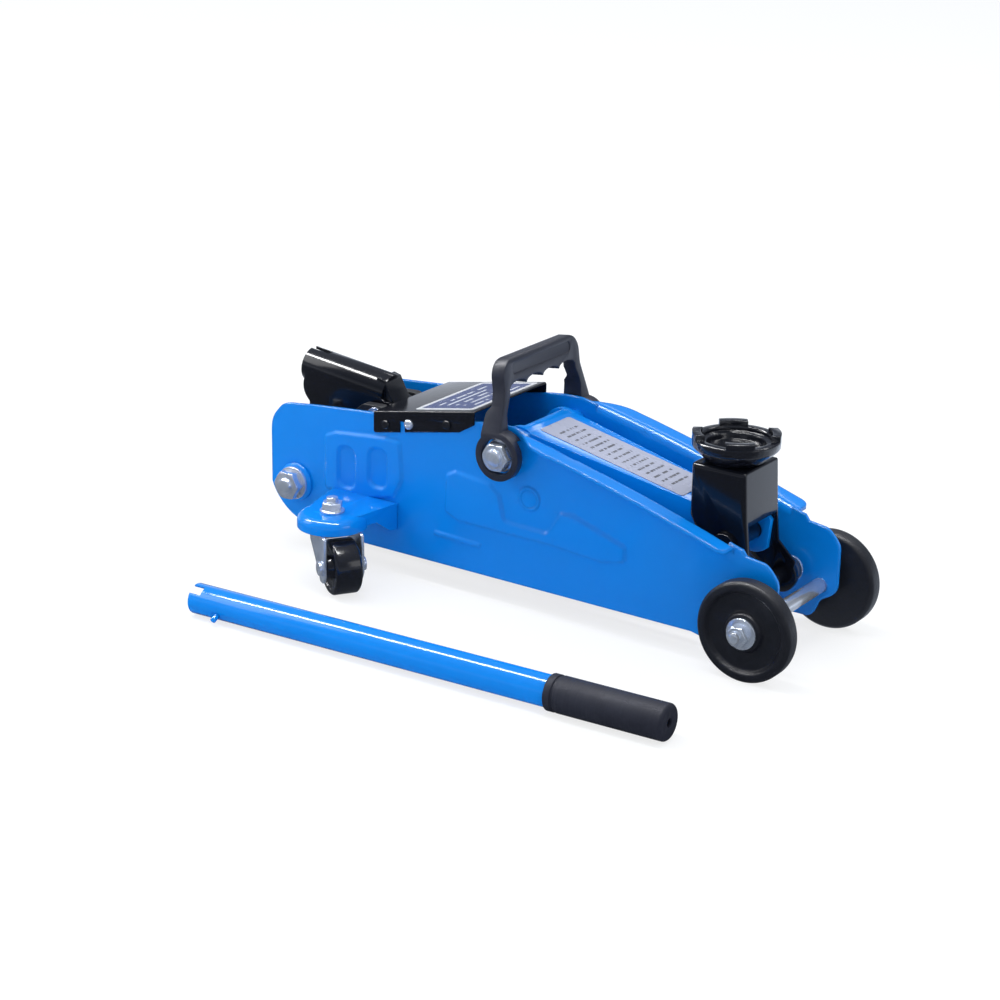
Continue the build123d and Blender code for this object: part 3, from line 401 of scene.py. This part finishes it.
@dataclass(frozen=True)
class PrintedLabel(Finish):
    """A label with rows of plain printed bars and a border."""

    ink: Colour = (0.05, 0.05, 0.05)
    border: Colour = (0.6, 0.6, 0.62)
    centre: tuple[float, float, float] = (0.0, 0.0, 0.0)
    tilt: float = 0.0
    half: tuple[float, float] = (1.0, 1.0)
    border_width: float = 0.0
    row_pitch: float = 6.0
    row_share: float = 0.35
    ink_reach: tuple[float, float] = (0.8, 0.7)
    dash: float = 1.0

    def base_colour(self, tree: bpy.types.NodeTree, point: bpy.types.NodeSocket) -> bpy.types.NodeSocket:
        """Label ground with printed bars in rows and a border line.

        Args:
            tree: The material's nodes.
            point: Object coordinates.

        Returns:
            The colour socket.
        """
        link = tree.links.new
        mapping = tree.nodes.new("ShaderNodeMapping")
        mapping.vector_type = "TEXTURE"
        mapping.inputs["Location"].default_value = tuple(c * MM for c in self.centre)
        mapping.inputs["Rotation"].default_value = (0.0, math.radians(self.tilt), 0.0)
        link(point, mapping.inputs["Vector"])
        parts = tree.nodes.new("ShaderNodeSeparateXYZ")
        link(mapping.outputs["Vector"], parts.inputs["Vector"])

        def op(kind: str, a, b=0.0) -> bpy.types.NodeSocket:
            """One maths node; a and b are sockets or numbers."""
            node = tree.nodes.new("ShaderNodeMath")
            node.operation = kind
            for slot_index, value in enumerate((a, b)):
                if isinstance(value, bpy.types.NodeSocket):
                    link(value, node.inputs[slot_index])
                else:
                    node.inputs[slot_index].default_value = value
            return node.outputs["Value"]

        x, y = parts.outputs["X"], parts.outputs["Y"]
        x_away, y_away = op("ABSOLUTE", x), op("ABSOLUTE", y)
        row = op("FRACT", op("MULTIPLY", op("ADD", x, 1.0), 1 / (self.row_pitch * MM)))
        in_row = op("LESS_THAN", row, self.row_share)
        row_number = op("FLOOR", op("MULTIPLY", op("ADD", x, 1.0), 1 / (self.row_pitch * MM)))
        wave = tree.nodes.new("ShaderNodeTexNoise")
        wave.noise_dimensions = "2D"
        wave.inputs["Scale"].default_value = 1.0
        join = tree.nodes.new("ShaderNodeCombineXYZ")
        link(op("MULTIPLY", row_number, 7.3), join.inputs["X"])
        link(op("MULTIPLY", y, self.dash / MM), join.inputs["Y"])
        link(join.outputs["Vector"], wave.inputs["Vector"])
        dashes = op("GREATER_THAN", wave.outputs["Fac"], 0.46)
        inside = op(
            "MULTIPLY",
            op("LESS_THAN", x_away, self.half[0] * self.ink_reach[0] * MM),
            op("LESS_THAN", y_away, self.half[1] * self.ink_reach[1] * MM),
        )
        printed = op("MULTIPLY", op("MULTIPLY", in_row, dashes), inside)
        mask = self.place(tree, GROUPS.mottle(), Scale=self.mottle_scale, Contrast=1.2)
        link(point, mask.inputs["Point"])
        ground = self.mixed(tree, mask.outputs["Mask"], self.colour, self.shade)
        inked = self.mixed(tree, printed, ground, self.ink)
        if self.border_width <= 0:
            return inked
        rim = op(
            "MAXIMUM",
            op("GREATER_THAN", x_away, (self.half[0] - self.border_width) * MM),
            op("GREATER_THAN", y_away, (self.half[1] - self.border_width) * MM),
        )
        return self.mixed(tree, rim, inked, self.border)


STEEL_WORN: Colour = (0.5, 0.5, 0.5)
BLUE_PAINT = Finish(
    "blue_enamel", Slot.BLUE, (0.001, 0.235, 0.78), (0.0008, 0.21, 0.71), (0.02, 0.38, 0.9),
    (0.1, 0.17), coat=0.1, mottle_scale=9.0, grain_scale=420.0, grain_depth=0.05,
    edge=0.7, wear=0.35, dust=0.01,
    specular=0.4,
)
PRESSED_BLUE = Finish(
    "pressed_blue_enamel", Slot.BLUE, (0.001, 0.235, 0.78), (0.0008, 0.21, 0.71), (0.02, 0.38, 0.9),
    (0.16, 0.24), coat=0.1, mottle_scale=7.0, grain_scale=300.0, grain_depth=0.05,
    edge=2.6, wear=0.0, dust=0.01,
    specular=0.4,
)
BLACK_PAINT = Finish(
    "black_enamel", Slot.BLACK, (0.0035, 0.004, 0.007), (0.006, 0.007, 0.011), (0.03, 0.032, 0.045),
    (0.12, 0.2), coat=0.15, mottle_scale=18.0, grain_scale=260.0, grain_depth=0.12,
    edge=0.8, wear=0.3, dust=0.005,
    specular=0.38,
)
SADDLE_BLACK = Finish(
    "cast_saddle_black", Slot.BLACK, (0.004, 0.0045, 0.008), (0.007, 0.008, 0.012), (0.035, 0.037, 0.05),
    (0.1, 0.22), coat=0.3, mottle_scale=60.0, grain_scale=330.0, grain_depth=0.6,
    edge=0.8, wear=0.4, dust=0.005,
    specular=0.45,
)
CAST_BLACK = Finish(
    "cast_wheel_black", Slot.CAST, (0.006, 0.007, 0.012), (0.011, 0.012, 0.018), (0.04, 0.042, 0.055),
    (0.34, 0.5), mottle_scale=60.0, grain_scale=650.0, grain_depth=0.6, edge=0.9, wear=0.25, dust=0.015,
    specular=0.35,
)
CASTER_BLACK = Finish(
    "caster_black", Slot.CASTER, (0.005, 0.006, 0.01), (0.009, 0.01, 0.015), (0.03, 0.032, 0.045),
    (0.14, 0.24), coat=0.2, mottle_scale=40.0, grain_scale=500.0, grain_depth=0.1,
    edge=0.8, wear=0.2, dust=0.01,
    specular=0.4,
)
ZINC = Finish(
    "bright_zinc", Slot.ZINC, (0.8, 0.86, 0.95), (0.55, 0.6, 0.7), (0.85, 0.9, 0.95),
    (0.14, 0.3), metallic=0.75, mottle_scale=110.0, grain_scale=900.0, grain_depth=0.1,
    edge=0.5, wear=0.3, dust=0.01,
)
BRIGHT_STEEL = Finish(
    "ground_steel", Slot.BRIGHT, (0.62, 0.65, 0.7), (0.5, 0.53, 0.58), (0.75, 0.77, 0.8),
    (0.14, 0.26), metallic=0.75, mottle_scale=70.0, grain_scale=1200.0, grain_depth=0.05,
    edge=0.4, wear=0.0, dust=0.0,
)
GREY_STEEL = Finish(
    "plain_steel", Slot.GREY, (0.16, 0.165, 0.18), (0.23, 0.235, 0.25), STEEL_WORN,
    (0.3, 0.45), metallic=1.0, mottle_scale=60.0, grain_scale=800.0, grain_depth=0.12,
    edge=0.4, wear=0.2, dust=0.02,
)
PUMP_CASTING = Finish(
    "pump_casting_black", Slot.CASTING, (0.008, 0.009, 0.012), (0.014, 0.015, 0.02), (0.06, 0.06, 0.07),
    (0.35, 0.5), mottle_scale=50.0, grain_scale=450.0, grain_depth=0.5,
    edge=1.2, wear=0.2, dust=0.03, specular=0.4,
)
CHARCOAL = Finish(
    "charcoal_moulding", Slot.PLASTIC, (0.016, 0.018, 0.03), (0.022, 0.024, 0.038), (0.05, 0.052, 0.075),
    (0.34, 0.46), mottle_scale=30.0, grain_scale=1500.0, grain_depth=0.22, edge=1.0, wear=0.15, dust=0.01,
    specular=0.4,
)
GRIP_RUBBER = Finish(
    "ribbed_grip", Slot.PLASTIC, (0.014, 0.015, 0.026), (0.022, 0.024, 0.038), (0.05, 0.052, 0.075),
    (0.55, 0.68), mottle_scale=45.0, grain_scale=420.0, grain_depth=1.0, edge=0.8, wear=0.15, dust=0.01,
    specular=0.2, grain_stretch=(1.0, 0.03, 0.03),
)
RUBBER = Finish(
    "plug_rubber", Slot.RUBBER, (0.01, 0.01, 0.012), (0.015, 0.015, 0.018), (0.05, 0.05, 0.05),
    (0.6, 0.75), grain_depth=0.2, edge=0.8, wear=0.0, dust=0.03, specular=0.3,
)
RIVET_BLACK = Finish(
    "rivet_black", Slot.RIVET, (0.004, 0.0045, 0.007), (0.007, 0.008, 0.012), (0.05, 0.05, 0.06),
    (0.15, 0.25), coat=0.3, grain_depth=0.12, edge=0.3, wear=0.2, dust=0.005, specular=0.45,
)

# The finish of every CAD node, and the width in millimetres of the bevel its finished copy gets.
# A width of None leaves the CAD node itself showing.
NODE_FINISH: dict[str, tuple[Finish, float | None]] = {
    "side_plate_right": (PRESSED_BLUE, 0.0), "side_plate_left": (PRESSED_BLUE, 0.0),
    "lift_arm": (BLUE_PAINT, 0.8), "arm_shaft_spacers": (BLUE_PAINT, 0.4),
    "caster_bracket_right": (BLUE_PAINT, 0.5), "caster_bracket_left": (BLUE_PAINT, 0.5),
    "bar_tube": (BLUE_PAINT, 0.3), "bar_stub_pin": (BLUE_PAINT, 0.4),
    "link_anchor_pins": (BLUE_PAINT, 0.3), "saddle_bracket": (BLACK_PAINT, 0.8),
    "saddle": (SADDLE_BLACK, 0.6), "handle_socket": (BLACK_PAINT, 0.5), "cover_plate": (BLACK_PAINT, 0.25),
    "bolt_seats": (BLUE_PAINT, 0.4), "link_pin": (BLACK_PAINT, 0.5), "bracket_pin": (BLACK_PAINT, 0.5),
    "front_wheel_right": (CAST_BLACK, 0.7), "front_wheel_left": (CAST_BLACK, 0.7),
    "caster_wheel_right": (CASTER_BLACK, 0.5), "caster_wheel_left": (CASTER_BLACK, 0.5),
    "axle_washers": (ZINC, 0.2), "axle_nuts": (ZINC, 0.3), "arm_shaft": (ZINC, 0.5),
    "arm_shaft_washers": (ZINC, 0.2), "arm_shaft_nuts": (ZINC, 0.35), "bolt_washers": (ZINC, 0.3),
    "pump_bolts": (ZINC, 0.35), "swivel_bolts": (ZINC, 0.4), "swivel_nuts": (ZINC, 0.3),
    "caster_fork_right": (ZINC, 0.3), "caster_fork_left": (ZINC, 0.3), "caster_axle_right": (ZINC, 0.4),
    "caster_axle_left": (ZINC, 0.4), "cover_screws": (ZINC, None), "relief_valve_plug": (ZINC, 0.4),
    "release_valve": (ZINC, 0.4), "bracket_pin_clips": (ZINC, None), "socket_pin": (ZINC, None),
    "socket_pin_clips": (ZINC, None), "saddle_clip": (ZINC, None), "front_axle": (BRIGHT_STEEL, 0.4),
    "ram_rod": (BRIGHT_STEEL, None), "ram_pin": (BRIGHT_STEEL, None), "pump_plunger": (BRIGHT_STEEL, None),
    "plunger_spring": (BRIGHT_STEEL, None), "axle_spacers": (GREY_STEEL, None),
    "ram_pin_spacers": (GREY_STEEL, None), "link_pin_spacers": (GREY_STEEL, None),
    "levelling_links": (GREY_STEEL, 0.4), "ram_cylinder": (GREY_STEEL, None), "ram_yoke": (GREY_STEEL, 0.6),
    "gland_nut": (GREY_STEEL, 0.6), "pump_block": (PUMP_CASTING, None),
    "reservoir_tube": (PUMP_CASTING, None),
    "carry_handle": (CHARCOAL, 1.0), "bar_grip": (GRIP_RUBBER, 0.4), "filler_plug": (RUBBER, None),
    "cover_rivets": (RIVET_BLACK, None),
}


# ---- modelling helpers ---------------------------------------------------------------------
def deselect() -> None:
    """Leaves object mode with nothing selected."""
    if bpy.context.mode != "OBJECT":
        bpy.ops.object.mode_set(mode="OBJECT")
    bpy.ops.object.select_all(action="DESELECT")


def make_active(piece: bpy.types.Object) -> None:
    """Selects one piece alone and makes it active."""
    deselect()
    piece.select_set(True)
    bpy.context.view_layer.objects.active = piece


def settle(piece: bpy.types.Object, smooth: float = 35.0) -> None:
    """Applies the piece's place to its mesh and smooths its shading.

    Args:
        piece: The piece.
        smooth: Angle in degrees above which an edge stays sharp.
    """
    make_active(piece)
    bpy.ops.object.transform_apply(location=True, rotation=True, scale=True)
    bpy.ops.object.shade_smooth_by_angle(angle=math.radians(smooth))


def tidy_normals(piece: bpy.types.Object) -> None:
    """Merges doubles and turns every face outwards."""
    make_active(piece)
    bpy.ops.object.mode_set(mode="EDIT")
    bpy.ops.mesh.select_all(action="SELECT")
    bpy.ops.mesh.remove_doubles(threshold=1e-6)
    bpy.ops.mesh.normals_make_consistent(inside=False)
    bpy.ops.object.mode_set(mode="OBJECT")


def apply_modifiers(piece: bpy.types.Object) -> None:
    """Applies every modifier of a piece in order."""
    make_active(piece)
    for modifier in list(piece.modifiers):
        bpy.ops.object.modifier_apply(modifier=modifier.name)


def dress(piece: bpy.types.Object, finish: Finish) -> None:
    """Gives a piece or CAD node its finish."""
    piece.data.materials.clear()
    piece.data.materials.append(finish.build())


def finished_copy(node: str, finish: Finish, width: float) -> bpy.types.Object:
    """Copies a CAD node, merges its triangles, rounds its edges and stands it in for the node.

    Args:
        node: The CAD node.
        finish: Its finish.
        width: Bevel width in millimetres; 0 for none.

    Returns:
        The finished piece.
    """
    source = frame["nodes"][node]
    piece = bpy.data.objects.new(node + "_finished", source.data.copy())
    bpy.context.scene.collection.objects.link(piece)
    make_active(piece)
    bpy.ops.object.mode_set(mode="EDIT")
    bpy.ops.mesh.select_all(action="SELECT")
    bpy.ops.mesh.remove_doubles(threshold=2e-6)
    bpy.ops.mesh.customdata_custom_splitnormals_clear()
    if width > 0:
        bpy.ops.mesh.dissolve_limited(angle_limit=math.radians(0.5))
    bpy.ops.object.mode_set(mode="OBJECT")
    if width > 0:
        bevel = piece.modifiers.new("edge", "BEVEL")
        bevel.width = width * MM
        bevel.segments = 2
        bevel.limit_method = "ANGLE"
        bevel.angle_limit = math.radians(38)
        bevel.use_clamp_overlap = True
        bevel.miter_outer = "MITER_ARC"
        apply_modifiers(piece)
    settle(piece)
    dress(piece, finish)
    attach(piece, source["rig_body"])
    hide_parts(node)
    return piece


# ---- sub-assemblies ------------------------------------------------------------------------
@dataclass
class CadPieces:
    """Every CAD node, dressed as it is or stood in for by a finished copy."""

    finishes: dict[str, tuple[Finish, float | None]] = field(default_factory=lambda: NODE_FINISH)

    def build(self) -> None:
        """Dresses every node of the table."""
        for node, (finish, width) in self.finishes.items():
            if width is None:
                dress(frame["nodes"][node], finish)
            else:
                finished_copy(node, finish, width)
            LOG.info("%s: %s", node, finish.name)


@dataclass
class Labels:
    """The silver plate on the arm and the navy plate on the cover."""

    arm_tilt: float = 11.53
    cover_tilt: float = -10.67

    def build(self) -> None:
        """Dresses both label nodes with generic printed bars."""
        self.dress_label(
            "arm_label", "silver_plate", Slot.SILVER_LABEL, (0.44, 0.455, 0.56), (0.38, 0.395, 0.5),
            self.arm_tilt, (57.7, 17.8), ink=(0.12, 0.12, 0.14), row_pitch=6.4, row_share=0.3,
            ink_reach=(0.86, 0.62), dash=0.55,
        )
        self.dress_label(
            "cover_label", "navy_plate", Slot.NAVY_LABEL, (0.002, 0.022, 0.15), (0.0015, 0.017, 0.12),
            self.cover_tilt, (25.0, 40.0), ink=(0.55, 0.57, 0.62), row_pitch=7.0, row_share=0.3,
            ink_reach=(0.72, 0.7), dash=0.12, border_width=3.6,
        )

    @staticmethod
    def dress_label(
        node: str, name: str, slot: Slot, colour: Colour, shade: Colour, tilt: float,
        half: tuple[float, float], **details,
    ) -> None:
        """Dresses one label node.

        Args:
            node: The CAD node.
            name: The material's name.
            slot: Its record slot.
            colour: Ground colour.
            shade: Second ground tone.
            tilt: Slope of the label in degrees.
            half: Half length and half width in millimetres.
            details: Further fields of the printed label.
        """
        low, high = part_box(node)
        centre = tuple((low[i] + high[i]) / 2 / MM for i in range(3))
        finish = PrintedLabel(
            name, slot, colour, shade, (0.7, 0.7, 0.72), (0.22, 0.32), metallic=0.0, coat=0.1, specular=0.3,
            mottle_scale=30.0, grain_scale=600.0, grain_depth=0.03, edge=0.2, wear=0.0, dust=0.02,
            centre=centre, tilt=tilt, half=half, **details,
        )
        dress(frame["nodes"][node], finish)
        LOG.info("%s: %s", node, name)


@dataclass
class ThreadedEnd:
    """A rounded length of thread standing out of a nut."""

    name: str
    base: tuple[float, float, float]
    way: tuple[float, float, float]
    length: float
    radius: float
    pitch: float = 1.2
    depth: float = 0.45
    sunk: float = 0.6
    cone: float = 0.8
    rounding: float = 0.25
    sides: int = 40
    body: str = "chassis"

    def profile(self) -> list[tuple[float, float]]:
        """Radius and height of each ring, from the nut outwards.

        Returns:
            Rings in millimetres.
        """
        rings = [(self.radius, -self.sunk)]
        ridges = max(1, int((self.length - 0.9) / self.pitch))
        for ridge in range(ridges):
            start = ridge * self.pitch
            rings.append((self.radius - self.depth, start + 0.1 * self.pitch))
            rings.append((self.radius, start + 0.45 * self.pitch))
            rings.append((self.radius, start + 0.65 * self.pitch))
        rings.append((self.radius - self.depth, self.length - self.cone))
        rings.append((self.radius - self.depth - 0.5, self.length - self.rounding))
        rings.append((self.radius - self.depth - 1.3, self.length))
        return rings

    def build(self) -> bpy.types.Object:
        """Extrudes and scales a disc ring by ring, then stands it on the nut.

        Returns:
            The thread piece.
        """
        deselect()
        rings = self.profile()
        radius, height = rings[0]
        bpy.ops.mesh.primitive_circle_add(
            vertices=self.sides, radius=radius * MM, fill_type="NGON", location=(0, 0, 0)
        )
        piece = bpy.context.object
        piece.name = self.name
        bpy.ops.object.mode_set(mode="EDIT")
        bpy.ops.mesh.select_all(action="SELECT")
        for next_radius, next_height in rings[1:]:
            bpy.ops.mesh.extrude_region_move(
                TRANSFORM_OT_translate={"value": (0, 0, (next_height - height) * MM)}
            )
            share = next_radius / radius
            bpy.ops.transform.resize(value=(share, share, 1), center_override=(0, 0, 0))
            radius, height = next_radius, next_height
        bpy.ops.object.mode_set(mode="OBJECT")
        direction = Vector(self.way).normalized()
        piece.rotation_mode = "QUATERNION"
        piece.rotation_quaternion = direction.to_track_quat("Z", "X")
        piece.location = Vector(self.base) + direction * rings[0][1] * MM
        settle(piece, 25.0)
        tidy_normals(piece)
        dress(piece, ZINC)
        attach(piece, self.body)
        LOG.info("%s", self.name)
        return piece


@dataclass
class Threads:
    """Threaded ends over the nuts of axle, arm shaft, rear bolts and caster bolts."""

    rear_radius: float = 5.9
    rear_length: float = 2.6
    crest: float = 0.12
    proud: float = 0.3
    shaft_depth: float = 0.4
    swivel_radius: float = 4.1
    swivel_pitch: float = 1.0
    swivel_head: float = 7.0
    swivel_proud: float = 0.2

    def build(self) -> None:
        """Builds a thread on both ends of each round part."""
        self.both_ends("front_axle", 1, "axle_nuts")
        self.both_ends("arm_shaft", 1, "arm_shaft_nuts")
        self.rear_ends()
        self.caster_ends()

    def both_ends(self, shaft: str, axis: int, nut: str) -> None:
        """Threads both ends of a shaft that stand out of its nuts.

        Args:
            shaft: The round part's node.
            axis: Index of its long axis.
            nut: Node of its two nuts.
        """
        shaft_low, shaft_high = (Vector(corner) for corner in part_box(shaft))
        nut_low, nut_high = (Vector(corner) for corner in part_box(nut))
        centre = (shaft_low + shaft_high) / 2
        for side, nut_end, shaft_end in ((-1, nut_low, shaft_low), (1, nut_high, shaft_high)):
            base = centre.copy()
            base[axis] = nut_end[axis]
            way = Vector((0, 0, 0))
            way[axis] = side
            length = abs(shaft_end[axis] - nut_end[axis]) / MM
            radius = self.end_radius(shaft, axis, side) + self.crest
            name = f"{shaft}_thread_{'right' if side < 0 else 'left'}"
            ThreadedEnd(
                name, tuple(base), tuple(way), length + self.proud, radius, depth=self.shaft_depth
            ).build()

    @staticmethod
    def end_radius(node: str, axis: int, side: int) -> float:
        """Radius of a round node in its last half millimetre.

        Args:
            node: The node.
            axis: Index of its long axis.
            side: -1 or 1.

        Returns:
            Radius in millimetres.
        """
        shaft = frame["nodes"][node]
        points = [shaft.matrix_world @ vertex.co for vertex in shaft.data.vertices]
        end = max(side * point[axis] for point in points)
        near = [point for point in points if side * point[axis] > end - 0.5 * MM]
        across = [i for i in range(3) if i != axis]
        return max(max(point[i] for point in near) - min(point[i] for point in near) for i in across) / 2 / MM

    def rear_ends(self) -> None:
        """Adds the bolt end in the middle of each rear nut."""
        low, high = (Vector(corner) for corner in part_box("pump_bolts"))
        centre = (low + high) / 2
        for side, face in ((-1, low), (1, high)):
            base = (centre.x, face.y, centre.z)
            name = f"rear_bolt_thread_{'right' if side < 0 else 'left'}"
            ThreadedEnd(name, base, (0, side, 0), self.rear_length, self.rear_radius).build()

    def caster_ends(self) -> None:
        """Adds the thread on top of each caster's swivel bolt."""
        low, high = (Vector(corner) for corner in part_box("swivel_bolts"))
        nut_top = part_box("swivel_nuts")[1][2]
        for side, edge in ((-1, low), (1, high)):
            reach = self.swivel_head * MM
            base = ((low.x + high.x) / 2, edge.y - side * reach, nut_top)
            length = (high.z - nut_top) / MM
            name = f"swivel_thread_{'right' if side < 0 else 'left'}"
            ThreadedEnd(
                name, base, (0, 0, 1), length + self.swivel_proud, self.swivel_radius,
                pitch=self.swivel_pitch, depth=self.shaft_depth,
            ).build()


@dataclass
class Studio:
    """Pale floor, soft lights and the camera."""

    camera_at: tuple[float, float, float] = (902.4, -1339.9, 655.4)
    yaw: float = 34.5
    pitch: float = -19.7
    roll: float = 1.03
    focal: float = 91.76
    shift: tuple[float, float] = (0.00265, 0.0009)
    fill: Colour = (0.84, 0.92, 1.0)

    def build(self) -> None:
        """Adds floor, world, lights and camera."""
        self.floor()
        self.world()
        self.area("top_strip", (-1.2, -0.25, 2.1), (3.4, 0.14), 34.0, (-1.2, 0.0, 0.0))
        self.shine("shine_strip", (-1.2, -0.2, 2.05), (3.6, 0.3), 110.0, (-1.2, 0.0, 0.0))
        self.area("left_softbox", (-1.9, -0.9, 1.3), (1.0, 1.2), 10.0)
        self.area("far_strip", (0.3, 1.5, 1.9), (2.4, 0.3), 14.0)
        self.area("front_softbox", (2.2, -0.2, 0.9), (0.8, 0.9), 4.0)
        self.camera()

    @staticmethod
    def floor() -> None:
        """Adds the plain pale floor, which glows a little so that shadows stay faint."""
        deselect()
        bpy.ops.mesh.primitive_plane_add(size=14.0, location=(0, 0, 0))
        floor = bpy.context.object
        floor.name = "studio_floor"
        material = bpy.data.materials.new("pale_floor")
        material.use_nodes = True
        tree = material.node_tree
        shader = tree.nodes["Principled BSDF"]
        shader.inputs["Base Color"].default_value = (0.86, 0.87, 0.88, 1.0)
        shader.inputs["Roughness"].default_value = 0.9
        shader.inputs["Specular IOR Level"].default_value = 0.1
        glow = tree.nodes.new("ShaderNodeEmission")
        glow.inputs["Color"].default_value = (1.0, 1.0, 1.0, 1.0)
        glow.inputs["Strength"].default_value = 1.06
        path = tree.nodes.new("ShaderNodeLightPath")
        share = tree.nodes.new("ShaderNodeMath")
        share.operation = "MULTIPLY"
        share.inputs[1].default_value = 0.72
        mix = tree.nodes.new("ShaderNodeMixShader")
        tree.links.new(path.outputs["Is Camera Ray"], share.inputs[0])
        tree.links.new(share.outputs["Value"], mix.inputs[0])
        tree.links.new(shader.outputs["BSDF"], mix.inputs[1])
        tree.links.new(glow.outputs["Emission"], mix.inputs[2])
        # Reflections meet a dark floor on the near side and a bright one behind the jack.
        where = tree.nodes.new("ShaderNodeTexCoord")
        parts = tree.nodes.new("ShaderNodeSeparateXYZ")
        back = tree.nodes.new("ShaderNodeMapRange")
        back.inputs["From Min"].default_value = -0.02
        back.inputs["From Max"].default_value = 0.25
        back.inputs["To Min"].default_value = 0.16
        back.inputs["To Max"].default_value = 1.3
        mirrored = tree.nodes.new("ShaderNodeEmission")
        mirrored.inputs["Color"].default_value = (0.78, 0.86, 1.0, 1.0)
        final = tree.nodes.new("ShaderNodeMixShader")
        tree.links.new(where.outputs["Object"], parts.inputs["Vector"])
        tree.links.new(parts.outputs["Y"], back.inputs["Value"])
        tree.links.new(back.outputs["Result"], mirrored.inputs["Strength"])
        tree.links.new(path.outputs["Is Glossy Ray"], final.inputs[0])
        tree.links.new(mix.outputs["Shader"], final.inputs[1])
        tree.links.new(mirrored.outputs["Emission"], final.inputs[2])
        tree.links.new(final.outputs["Shader"], tree.nodes["Material Output"].inputs["Surface"])
        floor.data.materials.append(material)

    def world(self) -> None:
        """Sets a white backdrop, an even cool fill, and a darker room for reflections."""
        world = bpy.data.worlds.new("studio_world")
        world.use_nodes = True
        tree = world.node_tree
        link = tree.links.new
        fill = tree.nodes["Background"]
        fill.inputs["Color"].default_value = (*self.fill, 1.0)
        fill.inputs["Strength"].default_value = 0.82
        backdrop = tree.nodes.new("ShaderNodeBackground")
        backdrop.inputs["Strength"].default_value = 1.0
        backdrop.inputs["Color"].default_value = (1.0, 1.0, 1.0, 1.0)
        room = tree.nodes.new("ShaderNodeBackground")
        room.inputs["Strength"].default_value = 1.0
        where = tree.nodes.new("ShaderNodeTexCoord")
        parts = tree.nodes.new("ShaderNodeSeparateXYZ")
        height = tree.nodes.new("ShaderNodeValToRGB")
        ramp = height.color_ramp
        ramp.elements[0].position = 0.0
        ramp.elements[0].color = (0.62, 0.66, 0.74, 1.0)
        ramp.elements[1].position = 0.35
        ramp.elements[1].color = (0.16, 0.18, 0.23, 1.0)
        top = ramp.elements.new(0.8)
        top.color = (0.35, 0.38, 0.45, 1.0)
        path = tree.nodes.new("ShaderNodeLightPath")
        glossy = tree.nodes.new("ShaderNodeMixShader")
        seen = tree.nodes.new("ShaderNodeMixShader")
        link(where.outputs["Generated"], parts.inputs["Vector"])
        link(parts.outputs["Z"], height.inputs["Fac"])
        link(height.outputs["Color"], room.inputs["Color"])
        link(path.outputs["Is Glossy Ray"], glossy.inputs[0])
        link(fill.outputs["Background"], glossy.inputs[1])
        link(room.outputs["Background"], glossy.inputs[2])
        link(path.outputs["Is Camera Ray"], seen.inputs[0])
        link(glossy.outputs["Shader"], seen.inputs[1])
        link(backdrop.outputs["Background"], seen.inputs[2])
        link(seen.outputs["Shader"], tree.nodes["World Output"].inputs["Surface"])
        bpy.context.scene.world = world
        bpy.context.scene.view_settings.view_transform = "Standard"

    def shine(self, name: str, place: tuple[float, float, float], size: tuple[float, float], power: float,
              target: tuple[float, float, float]) -> None:
        """Adds a light that is only seen mirrored, for crisp lines along round glossy parts.

        Args:
            name: The light's name.
            place: Its place in metres.
            size: Sides in metres.
            power: Power in watts.
            target: The point it faces.
        """
        light = self.area(name, place, size, power, target)
        light.visible_diffuse = False

    @staticmethod
    def area(name: str, place: tuple[float, float, float], size: tuple[float, float], power: float,
             target: tuple[float, float, float] = (0.0, 0.0, 0.08)) -> bpy.types.Object:
        """Adds one soft rectangular light, its long side level.

        Args:
            name: The light's name.
            place: Its place in metres.
            size: Sides in metres.
            power: Power in watts.
            target: The point it faces.

        Returns:
            The light.
        """
        data = bpy.data.lights.new(name, "AREA")
        data.shape = "RECTANGLE"
        data.size, data.size_y = size
        data.energy = power
        light = bpy.data.objects.new(name, data)
        light.location = place
        aim = Vector(target) - Vector(place)
        light.rotation_euler = aim.to_track_quat("-Z", "Y").to_euler()
        bpy.context.scene.collection.objects.link(light)
        return light

    def camera(self) -> None:
        """Adds the camera at its solved place and turn."""
        yaw, pitch, roll = (math.radians(v) for v in (self.yaw, self.pitch, self.roll))
        back = Vector((math.sin(yaw) * math.cos(pitch), -math.cos(yaw) * math.cos(pitch), -math.sin(pitch)))
        right = (-back).cross(Vector((0, 0, 1))).normalized()
        up = right.cross(-back)
        rolled_right = right * math.cos(roll) + up * math.sin(roll)
        rolled_up = up * math.cos(roll) - right * math.sin(roll)
        data = bpy.data.cameras.new("studio_camera")
        data.lens = self.focal
        data.sensor_width = 36.0
        data.shift_x, data.shift_y = self.shift
        data.clip_end = 50.0
        camera = bpy.data.objects.new("studio_camera", data)
        turn = Matrix((rolled_right, rolled_up, back)).transposed().to_4x4()
        camera.matrix_world = Matrix.Translation(Vector(self.camera_at) * MM) @ turn
        bpy.context.scene.collection.objects.link(camera)
        bpy.context.scene.camera = camera


def main() -> None:
    """Builds every sub-assembly in order."""
    logging.basicConfig(level=logging.INFO, format="%(name)s %(message)s")
    CadPieces().build()
    Labels().build()
    Threads().build()
    Studio().build()


if __name__ == "__main__":
    main()
